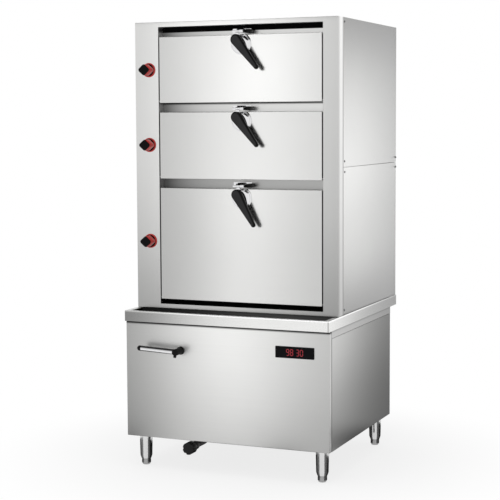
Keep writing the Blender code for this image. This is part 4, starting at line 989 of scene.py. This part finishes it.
def make_legs():
    """Polished tube legs with a rounded shoulder over a screwed foot."""
    for corner in CORNERS:
        leg, foot_node = "leg_" + corner, "foot_" + corner
        low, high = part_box(leg)
        foot_low, foot_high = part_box(foot_node)
        centre = joint_place(foot_node + "_turn")
        on_floor = (centre.x, centre.y, 0)
        flange_half = (high.x - low.x) / 2
        tube_top = high.z - LEG_FLANGE - TOUCH
        foot_radius = (foot_high.x - foot_low.x) / 2
        foot_top = low.z - SEAT

        def tube(bm):
            profile = [
                (STUD_HOLE, low.z),
                *[(radius, low.z + height) for radius, height in LEG_SHOULDER],
                (LEG_TOP_RADIUS, tube_top),
                (STUD_HOLE, tube_top),
                (STUD_HOLE, low.z),
            ]
            lathe(bm, profile, on_floor, UP)

        flange = block(
            (centre.x - flange_half, centre.y - flange_half, high.z - LEG_FLANGE),
            (centre.x + flange_half, centre.y + flange_half, high.z),
            LEG_FLANGE_EDGE,
            segments=2,
        )

        def foot(bm):
            profile = [
                *FOOT_SOLE,
                *[(foot_radius - inset, height) for inset, height in FOOT_TAPER],
                (foot_radius, foot_top - FOOT_CHAMFER),
                (foot_radius - FOOT_CHAMFER, foot_top),
                (STUD_RADIUS, foot_top),
                (STUD_RADIUS, foot_high.z),
                (0, foot_high.z),
            ]
            lathe(bm, profile, on_floor, UP)

        shells = [(tube, tube_steel), (flange, tube_steel)]
        new_piece(leg + "_tube", "root", shells, [leg])
        new_piece(foot_node + "_screwed", foot_node, [(foot, foot_steel)], [foot_node])


# Power lever

HUB_RADIUS = 0.0135
HUB_EDGE = 0.0012
COLLAR_RADIUS = 0.017
COLLAR_THICKNESS = 0.004
HUB_SHAFT_RADIUS = 0.005
FINGER_TURN = math.radians(18)
FINGER_RADIUS = 0.0062
FINGER_START = HUB_RADIUS - 0.001
FINGER_END = 0.0240
FINGER_EDGE = 0.001
BAR_BEHIND_HUB_FACE = 0.014
BAR_START = HUB_RADIUS + SEAT
BAR_END = 0.177
BAR_CAP_LENGTH = 0.019
BAR_CAP_STEPS = 8


def make_power_lever():
    """Black hub with a finger, and a chrome bar with a black cap at its outer end."""
    low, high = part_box("power_lever_hub")
    centre = joint_place("power_lever_turn")
    panel = centre.y - RUNNING
    middle = Vector((centre.x, low.y + BAR_BEHIND_HUB_FACE, centre.z))
    along_bar = Vector((-math.cos(BAR_TILT), 0, math.sin(BAR_TILT)))
    cap_start = BAR_END - BAR_CAP_LENGTH

    def hub(bm):
        profile = [
            (0, panel - low.y),
            (HUB_RADIUS, panel - low.y),
            (HUB_RADIUS, COLLAR_THICKNESS),
            (COLLAR_RADIUS, COLLAR_THICKNESS),
            (COLLAR_RADIUS, 0),
            (HUB_SHAFT_RADIUS, 0),
            (HUB_SHAFT_RADIUS, panel - high.y),
            (0, panel - high.y),
        ]
        lathe(bm, profile, (centre.x, panel, centre.z), FORWARD)
        soften(bm, HUB_EDGE, segments=2)

    def finger(bm):
        down = Vector((-math.sin(FINGER_TURN), 0, -math.cos(FINGER_TURN)))
        lathe(bm, rod(FINGER_RADIUS, FINGER_START, FINGER_END), middle, down, steps=24)
        soften(bm, FINGER_EDGE, segments=2)

    def bar(bm):
        lathe(bm, rod(BAR_RADIUS, BAR_START, cap_start), middle, along_bar)
        for vert in bm.verts:
            offset = vert.co - middle
            reach = offset.dot(along_bar)
            if reach < BAR_START + WELD:
                drop = (offset - along_bar * reach).z
                vert.co += along_bar * (math.sqrt(BAR_START**2 - drop**2) - reach)

    def cap(bm):
        profile = [(0, cap_start + TOUCH), (BAR_RADIUS, cap_start + TOUCH)]
        for i in range(1, BAR_CAP_STEPS):
            angle = math.pi / 2 * i / BAR_CAP_STEPS
            reach = BAR_END - BAR_RADIUS + BAR_RADIUS * math.sin(angle)
            profile.append((BAR_RADIUS * math.cos(angle), reach))
        lathe(bm, [*profile, (0, BAR_END)], middle, along_bar)

    hub_shells = [(hub, black), (finger, black)]
    bar_shells = [(bar, bar_chrome), (cap, black)]
    new_piece("power_lever_hub_turned", "power_lever", hub_shells, ["power_lever_hub"])
    new_piece("power_lever_bar_capped", "power_lever", bar_shells, ["power_lever_bar"])


# Display

# The seven strokes of a numeral: middle, direction and whether it stands upright
STROKES = {
    "top": (0, 1, False),
    "middle": (0, 0, False),
    "bottom": (0, -1, False),
    "upper left": (-1, 0.5, True),
    "upper right": (1, 0.5, True),
    "lower left": (-1, -0.5, True),
    "lower right": (1, -0.5, True),
}
NUMERALS = {
    "9": ("top", "middle", "bottom", "upper left", "upper right", "lower right"),
    "8": tuple(STROKES),
    "3": ("top", "middle", "bottom", "upper right", "lower right"),
    "0": ("top", "bottom", "upper left", "upper right", "lower left", "lower right"),
}
READOUT = "9830"
NUMERAL_HEIGHT = 0.024
NUMERAL_WIDTH = 0.0105
NUMERAL_STROKE = 0.0024
NUMERAL_SPACING = 0.0165
NUMERAL_GROUP_GAP = 0.009
NUMERAL_RELIEF = 0.0003
NUMERAL_GAP = 0.00002
WINDOW_THICKNESS = 0.0025
WINDOW_CORNER = 0.003
WINDOW_EDGE = 0.0007
HOUSING_INSET = 0.006


def make_display():
    """Black window with rounded edges, its housing, and four lit numerals on its face."""
    low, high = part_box("display_module")
    window_back = low.y + WINDOW_THICKNESS
    window_front = low.y + NUMERAL_RELIEF
    middle = (low + high) / 2

    def window_face(bm):
        outline = rounded_outline(low.x, low.z, high.x, high.z, WINDOW_CORNER)
        plate(bm, outline, window_back, window_front)
        soften(bm, WINDOW_EDGE, segments=2)

    def housing(bm):
        box_shape(
            bm,
            (low.x + HOUSING_INSET, window_back + TOUCH, low.z + HOUSING_INSET),
            (high.x - HOUSING_INSET, high.y, high.z - HOUSING_INSET),
        )

    def numerals(bm):
        width = (len(READOUT) - 1) * NUMERAL_SPACING + NUMERAL_GROUP_GAP
        for place, numeral in enumerate(READOUT):
            group_gap = NUMERAL_GROUP_GAP if place > 1 else 0
            x = middle.x - width / 2 + place * NUMERAL_SPACING + group_gap
            for stroke in NUMERALS[numeral]:
                across, up, upright = STROKES[stroke]
                centre_x = x + across * NUMERAL_WIDTH / 2
                centre_z = middle.z + up * NUMERAL_HEIGHT / 2
                half_x, half_z = (NUMERAL_WIDTH - NUMERAL_STROKE) / 2, NUMERAL_STROKE / 2
                if upright:
                    half_x, half_z = NUMERAL_STROKE / 2, NUMERAL_HEIGHT / 4 - NUMERAL_STROKE / 2
                box_shape(
                    bm,
                    (centre_x - half_x, low.y, centre_z - half_z),
                    (centre_x + half_x, window_front - NUMERAL_GAP, centre_z + half_z),
                )

    shells = [(window_face, glass), (housing, black), (numerals, numeral_glow)]
    new_piece("display_window", "root", shells, ["display_module"])


# Drain valve

PIPE_RADIUS = 0.014
PIPE_BEND = 0.035
VALVE_HOLE = 0.0056
VALVE_RADIUS = 0.0182
VALVE_LENGTH = 0.040
VALVE_EDGE = 0.0012
DRAIN_KNOB_RADIUS = 0.026
DRAIN_KNOB_LENGTH = 0.036
DRAIN_KNOB_EDGE = 0.0025
DRAIN_KNOB_POINTS = 144
LOBES = 6
LOBE_DEPTH = 0.0035
STEM_RADIUS = 0.005


def make_drain():
    """Lobed black knob in front of a valve, and the pipe that bends up to the tank."""
    low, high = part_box("drain_valve_body")
    knob_low, knob_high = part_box("drain_valve_knob")
    centre = joint_place("drain_knob_turn")
    knob_back = knob_low.y + DRAIN_KNOB_LENGTH
    pipe_start = low.y + VALVE_LENGTH
    bend_start = high.y - PIPE_RADIUS - PIPE_BEND

    def pipe(bm):
        upright = Matrix.Rotation(math.pi / 2, 4, "X")
        place = Matrix.Translation((centre.x, pipe_start, centre.z)) @ upright
        bmesh.ops.create_circle(bm, cap_ends=False, segments=32, radius=PIPE_RADIUS, matrix=place)
        grown = bmesh.ops.extrude_edge_only(bm, edges=bm.edges[:])["geom"]
        ring = verts_of(grown)
        edges = [edge for edge in edges_of(grown) if all(vert in ring for vert in edge.verts)]
        bmesh.ops.translate(bm, vec=(0, bend_start - pipe_start, 0), verts=ring)
        turned_up = bmesh.ops.spin(
            bm,
            geom=ring + edges,
            cent=(centre.x, bend_start, centre.z + PIPE_BEND),
            axis=(1, 0, 0),
            angle=math.pi / 2,
            steps=10,
            use_duplicate=False,
        )["geom_last"]
        grown = bmesh.ops.extrude_edge_only(bm, edges=edges_of(turned_up))["geom"]
        bmesh.ops.translate(bm, vec=(0, 0, high.z - centre.z - PIPE_BEND), verts=verts_of(grown))
        bmesh.ops.holes_fill(bm, edges=bm.edges[:])

    def valve(bm):
        profile = [
            (VALVE_HOLE, 0),
            (VALVE_RADIUS, 0),
            (VALVE_RADIUS, VALVE_LENGTH),
            (VALVE_HOLE, VALVE_LENGTH),
            (VALVE_HOLE, 0),
        ]
        lathe(bm, profile, (centre.x, low.y, centre.z), -FORWARD)
        soften(bm, VALVE_EDGE, segments=2)

    def knob(bm):
        outline = []
        for i in range(DRAIN_KNOB_POINTS):
            angle = 2 * math.pi * i / DRAIN_KNOB_POINTS
            groove = max(0.0, math.cos(LOBES * angle)) ** 2
            reach = DRAIN_KNOB_RADIUS - LOBE_DEPTH * groove
            outline.append((centre.x + reach * math.cos(angle), centre.z + reach * math.sin(angle)))
        plate(bm, outline, knob_back, knob_low.y)
        soften(bm, DRAIN_KNOB_EDGE, segments=3)

    def stem(bm):
        profile = rod(STEM_RADIUS, TOUCH, knob_high.y - knob_back)
        lathe(bm, profile, (centre.x, knob_back, centre.z), -FORWARD, steps=24)

    pipe_shells = [(pipe, black), (valve, black)]
    knob_shells = [(knob, valve_black), (stem, screw_steel)]
    new_piece("drain_valve_pipe", "root", pipe_shells, ["drain_valve_body"])
    new_piece("drain_valve_knob_lobed", "drain_knob", knob_shells, ["drain_valve_knob"])


# Folded sheet metal

BEND = 0.0025
SIDE_BEND = 0.0018
WORKTOP_BEND = 0.0020
TROUGH_BEND = 0.003
SIDE_RIM = 0.022
FRONT_RIM = 0.015
TROUGH_DEPTH = 0.028
TROUGH_LAP = 0.0028
TROUGH_UNDER_CABINET = 0.002
TROUGH_BACK_EDGE = 0.0003
SHAFT_HOLE_HALF = 0.006
DISPLAY_LAP = 0.0055
DOOR_SIDE_GAP = 0.0045
DOOR_FOOT_GAP = 0.0195
FRAME_TOP_BAR = 0.021
OPENING_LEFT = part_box("door_1_skin")[0].x - DOOR_SIDE_GAP
OPENING_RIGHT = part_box("door_1_skin")[1].x + DOOR_SIDE_GAP
OPENING_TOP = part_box("front_frame")[1].z - FRAME_TOP_BAR
OPENING_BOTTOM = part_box("door_3_skin")[0].z - DOOR_FOOT_GAP


def looks(face, direction):
    """Whether a face looks along a direction."""
    return face.normal.dot(Vector(direction)) > SQUARE_ON


def open_pan(bm, low, high, *open_sides):
    """A box with some sides left open, each given by the direction in which it faces."""
    box_shape(bm, low, high)
    left_open = [face for face in bm.faces if any(looks(face, side) for side in open_sides)]
    bmesh.ops.delete(bm, geom=left_open, context="FACES")


def fold(bm, bend=BEND):
    """Rounds the folds of a pan and gives the sheet its thickness, inwards."""
    soften(bm, bend, segments=4)
    bmesh.ops.remove_doubles(bm, verts=bm.verts, dist=WELD)
    bmesh.ops.recalc_face_normals(bm, faces=bm.faces)
    bmesh.ops.solidify(bm, geom=bm.faces[:], thickness=SHEET)


def cut_line(bm, axis, at, faces):
    """Divides some faces along a plane square to an axis, and returns the faces on it afterwards."""
    normal = Vector((0, 0, 0))
    normal["XYZ".index(axis)] = 1
    parts = [part for face in faces for part in (face, *face.edges, *face.verts)]
    cut = bmesh.ops.bisect_plane(
        bm, geom=list(dict.fromkeys(parts)), plane_co=normal * at, plane_no=normal, dist=WELD
    )
    return faces_of(cut["geom"])


def window(bm, facing, low, high):
    """Divides the faces that look along facing by the edges of a window, and returns the window's faces."""
    faces = [face for face in bm.faces if looks(face, facing)]
    across = [i for i in range(3) if abs(facing[i]) < 0.5]
    for i in across:
        for at in (low[i], high[i]):
            faces = cut_line(bm, "XYZ"[i], at, faces)
    return [
        face for face in faces if all(low[i] < face.calc_center_median()[i] < high[i] for i in across)
    ]


def open_window(bm, facing, low, high):
    bmesh.ops.delete(bm, geom=window(bm, facing, low, high), context="FACES")


def open_shaft_hole(bm, centre):
    """A square hole in a front sheet behind a knob or lever."""
    half = Vector((SHAFT_HOLE_HALF, SHAFT_HOLE_HALF, SHAFT_HOLE_HALF))
    open_window(bm, FORWARD, centre - half, centre + half)


def make_doors():
    """Three door skins, folded back round the edges, with a hole at each end for the hinge rod."""
    clearance = Vector((RUNNING, RUNNING, RUNNING))
    for number in DOORS:
        node = f"door_{number}_skin"
        low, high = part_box(node)
        rod_low, rod_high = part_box(f"door_{number}_hinge_rod")

        def skin(bm):
            open_pan(bm, low, high, -FORWARD)
            for facing in ((-1, 0, 0), (1, 0, 0)):
                open_window(bm, facing, rod_low - clearance, rod_high + clearance)
            fold(bm)

        shells = [(skin, door_steel[number])]
        new_piece(f"door_{number}_front", f"door_{number}", shells, [node])


def make_front_frame():
    """Frame round the doors: face, outer returns, and jambs that run back to the chambers."""
    low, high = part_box("front_frame")
    jamb_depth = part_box("chamber_liner")[0].y - SEAT - low.y

    def frame_sheet(bm):
        open_pan(bm, low, high, -FORWARD)
        opening_low = Vector((OPENING_LEFT, low.y, OPENING_BOTTOM))
        opening_high = Vector((OPENING_RIGHT, low.y, OPENING_TOP))
        opening = window(bm, FORWARD, opening_low, opening_high)
        edges = dict.fromkeys(edge for face in opening for edge in face.edges)
        rim = [edge for edge in edges if sum(face in opening for face in edge.link_faces) == 1]
        bmesh.ops.delete(bm, geom=opening, context="FACES_ONLY")
        grown = bmesh.ops.extrude_edge_only(bm, edges=rim)["geom"]
        bmesh.ops.translate(bm, vec=(0, jamb_depth, 0), verts=verts_of(grown))
        for number in DOORS:
            open_shaft_hole(bm, joint_place(f"knob_{number}_turn"))
        fold(bm)

    new_piece("front_frame_folded", "root", [(frame_sheet, frame_steel)], ["front_frame"])


def make_side_panels():
    for course in COURSES:
        for side, inward in (("left", 1), ("right", -1)):
            node = f"side_panel_{course}_{side}"
            low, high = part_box(node)

            def panel(bm):
                open_pan(bm, low, high, (inward, 0, 0))
                fold(bm, SIDE_BEND)

            new_piece(node + "_folded", "root", [(panel, side_steel[course])], [node])


def make_worktop():
    """Worktop with turned-down edges, a narrow rim and the drip trough."""
    low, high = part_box("worktop")
    trough_low = Vector((low.x + SIDE_RIM, low.y + FRONT_RIM, high.z - TROUGH_DEPTH))
    trough_high = Vector((high.x - SIDE_RIM, CABINET_FRONT + TROUGH_UNDER_CABINET, high.z))
    lap_foot = high.z - TROUGH_LAP

    def at_back_of_hole(face):
        middle = face.calc_center_median()
        return abs(middle.y - trough_high.y) < WELD and lap_foot < middle.z < high.z - WELD

    def top(bm):
        open_pan(bm, low, high, -UP)
        hole = window(bm, UP, trough_low, trough_high)
        grown = bmesh.ops.extrude_face_region(bm, geom=hole)["geom"]
        bmesh.ops.translate(bm, vec=(0, 0, -TROUGH_LAP), verts=verts_of(grown))
        unwanted = faces_of(grown) + [face for face in hole if face.is_valid]
        unwanted += [face for face in bm.faces if at_back_of_hole(face)]
        bmesh.ops.delete(bm, geom=list(dict.fromkeys(unwanted)), context="FACES")
        fold(bm, WORKTOP_BEND)

    def trough(bm):
        open_pan(bm, trough_low, trough_high - Vector((0, 0, TROUGH_LAP + TOUCH)), UP)
        fold(bm, TROUGH_BEND)

    trough_back = block(
        (trough_low.x + SHEET, trough_high.y - SHEET, lap_foot),
        (trough_high.x - SHEET, trough_high.y - TOUCH, high.z - TOUCH),
        TROUGH_BACK_EDGE,
        segments=2,
    )
    shells = [(top, worktop_steel), (trough, trough_steel), (trough_back, trough_steel)]
    piece = new_piece("worktop_folded", "root", shells, ["worktop"])
    piece.visible_glossy = False


def make_base_sheets():
    """Front panel with the display's cut-out, and the sheet that wraps round the sides and back."""
    low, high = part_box("base_front_panel")
    shell_low, shell_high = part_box("base_shell")
    display_low, display_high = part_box("display_module")
    lap = Vector((DISPLAY_LAP, 0, DISPLAY_LAP))

    def panel(bm):
        open_pan(bm, low, high, -FORWARD)
        open_window(bm, FORWARD, display_low + lap, display_high - lap)
        open_shaft_hole(bm, joint_place("power_lever_turn"))
        fold(bm)

    def shell(bm):
        open_pan(bm, shell_low, shell_high, FORWARD, UP, -UP)
        fold(bm)

    new_piece("base_front_folded", "root", [(panel, base_front_steel)], ["base_front_panel"])
    new_piece("base_sides_folded", "root", [(shell, base_side_steel)], ["base_shell"])


# Screws of the cabinet's sides, as distances behind the cabinet's front and heights
SIDE_SCREWS = (
    (0.077, 1.279),
    (0.079, 1.236),
    (0.778, 1.277),
    (0.778, 1.235),
    (0.076, 1.832),
    (0.076, 0.680),
)
SIDE_SCREW_RADIUS = 0.0044


def make_screws():
    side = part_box("side_panel_upper_right")[1].x

    def heads(bm):
        for behind, height in SIDE_SCREWS:
            for facing in (-1, 1):
                place = (facing * side, CABINET_FRONT + behind, height)
                pan_head_screw(bm, place, (facing, 0, 0), SIDE_SCREW_RADIUS)

    new_piece("side_screws", "root", [(heads, dark_screw)])


# Floor, light and background


def floor_material():
    """Pale matt floor round the object, which turns plain white further out."""
    material, tree, shader = blank_material("pale studio floor")
    shader.inputs["Base Color"].default_value = FLOOR_COLOUR
    shader.inputs["Roughness"].default_value = 0.9
    shader.inputs["Specular IOR Level"].default_value = 0.0
    coordinates = add_node(tree, "ShaderNodeTexCoord")
    length = add_node(tree, "ShaderNodeVectorMath", operation="LENGTH")
    tree.links.new(coordinates.outputs["Object"], length.inputs[0])
    share = add_node(tree, "ShaderNodeMapRange", interpolation_type="SMOOTHSTEP")
    share.inputs["From Min"].default_value = FLOOR_PLAIN_RADIUS
    share.inputs["From Max"].default_value = FLOOR_WHITE_RADIUS
    share.inputs["To Min"].default_value = FLOOR_GLOW
    tree.links.new(length.outputs["Value"], share.inputs["Value"])
    white = add_node(tree, "ShaderNodeEmission")
    mix = add_node(tree, "ShaderNodeMixShader")
    tree.links.new(share.outputs["Result"], mix.inputs["Fac"])
    tree.links.new(shader.outputs["BSDF"], mix.inputs[1])
    tree.links.new(white.outputs["Emission"], mix.inputs[2])
    output = next(node for node in tree.nodes if node.type == "OUTPUT_MATERIAL")
    tree.links.new(mix.outputs["Shader"], output.inputs["Surface"])
    return material


def make_floor():
    bm = bmesh.new()
    bmesh.ops.create_circle(bm, cap_ends=True, segments=96, radius=FLOOR_RADIUS)
    bmesh.ops.translate(bm, vec=(0, 0, -FLOOR_BELOW_FEET), verts=bm.verts)
    mesh = bpy.data.meshes.new("studio_floor")
    bm.to_mesh(mesh)
    bm.free()
    mesh.materials.append(floor_material())
    floor = bpy.data.objects.new("studio_floor", mesh)
    scene.collection.objects.link(floor)


def make_background():
    """White behind the object and in its reflections, and softer than that as light."""
    world = bpy.data.worlds.new("studio")
    scene.world = world
    world.use_nodes = True
    tree = world.node_tree
    ambient = tree.nodes["Background"]
    ambient.inputs["Color"].default_value = WHITE
    ambient.inputs["Strength"].default_value = AMBIENT
    white = add_node(tree, "ShaderNodeBackground")
    white.inputs["Color"].default_value = WHITE
    white.inputs["Strength"].default_value = 1.0
    path = add_node(tree, "ShaderNodeLightPath")
    seen = add_node(tree, "ShaderNodeMath", operation="ADD")
    tree.links.new(path.outputs["Is Camera Ray"], seen.inputs[0])
    tree.links.new(path.outputs["Is Glossy Ray"], seen.inputs[1])
    shown = add_node(tree, "ShaderNodeMath", operation="ADD", use_clamp=True)
    tree.links.new(seen.outputs["Value"], shown.inputs[0])
    tree.links.new(path.outputs["Is Transmission Ray"], shown.inputs[1])
    mix = add_node(tree, "ShaderNodeMixShader")
    tree.links.new(shown.outputs["Value"], mix.inputs["Fac"])
    tree.links.new(ambient.outputs["Background"], mix.inputs[1])
    tree.links.new(white.outputs["Background"], mix.inputs[2])
    output = next(node for node in tree.nodes if node.type == "OUTPUT_WORLD")
    tree.links.new(mix.outputs["Shader"], output.inputs["Surface"])


def softbox(name, place, aim, width, height, radiance, mirrored=True):
    """A rectangular lamp of an even brightness, turned towards a point."""
    lamp = bpy.data.lights.new(name, "AREA")
    lamp.shape = "RECTANGLE"
    lamp.size = width
    lamp.size_y = height
    lamp.energy = radiance * math.pi * width * height
    light = bpy.data.objects.new(name, lamp)
    scene.collection.objects.link(light)
    light.location = place
    light.rotation_euler = (Vector(aim) - Vector(place)).to_track_quat("-Z", "Y").to_euler()
    light.visible_camera = False
    light.visible_glossy = mirrored


def dark_card(name, outline, height, shade=0.01):
    """A flat dark card that only reflections show."""
    material, _, shader = blank_material(name)
    shader.inputs["Base Color"].default_value = (*grey(shade), 1)
    shader.inputs["Specular IOR Level"].default_value = 0.0
    bm = bmesh.new()
    bm.faces.new([bm.verts.new((x, y, height)) for x, y in outline])
    mesh = bpy.data.meshes.new(name)
    bm.to_mesh(mesh)
    bm.free()
    mesh.materials.append(material)
    card = bpy.data.objects.new(name, mesh)
    scene.collection.objects.link(card)
    card.visible_camera = False
    card.visible_diffuse = False
    card.visible_shadow = False


def make_cards():
    """Fans on the floor round each leg, dark behind it and grey in front, and a card high over the front."""
    for corner in CORNERS:
        centre = joint_place(f"foot_{corner}_turn")
        for name, first, last, reach, shade in LEG_CARDS:
            outline = arc_points(centre, LEG_CARD_START + reach, first, last, 12)
            outline += arc_points(centre, LEG_CARD_START, last, first, 12)
            dark_card(f"{corner}_leg_card_{name}", outline, FLOOR_CARD_HEIGHT, shade)
    dark_card("overhead_card", OVERHEAD_CARD, OVERHEAD_CARD_HEIGHT)


def make_light():
    softbox(
        "front_softbox",
        place=(-1.05, -2.9, 1.75),
        aim=(0, -0.3, 1.2),
        width=0.8,
        height=2.2,
        radiance=1.0,
        mirrored=False,
    )
    softbox("top_softbox", place=(0, -0.9, 3.9), aim=(0, 0, 1.0), width=2.6, height=2.0, radiance=1.6)


def make_camera():
    data = bpy.data.cameras.new("photograph_camera")
    data.lens = CAMERA_LENS
    data.sensor_width = CAMERA_SENSOR
    data.shift_y = CAMERA_SHIFT_UP
    data.clip_end = CAMERA_REACH
    camera = bpy.data.objects.new("photograph_camera", data)
    scene.collection.objects.link(camera)
    turn = (
        Matrix.Rotation(CAMERA_YAW, 3, "Z")
        @ Matrix.Rotation(math.pi / 2 + CAMERA_PITCH, 3, "X")
        @ Matrix.Rotation(CAMERA_ROLL, 3, "Z")
    )
    camera.matrix_world = Matrix.Translation(CAMERA_PLACE) @ turn.to_4x4()
    scene.camera = camera


make_latches()
make_knobs()
make_legs()
make_power_lever()
make_display()
make_drain()
make_doors()
make_front_frame()
make_side_panels()
make_worktop()
make_base_sheets()
make_screws()
make_floor()
make_background()
make_light()
make_cards()
make_camera()
scene.view_settings.view_transform = "Standard"
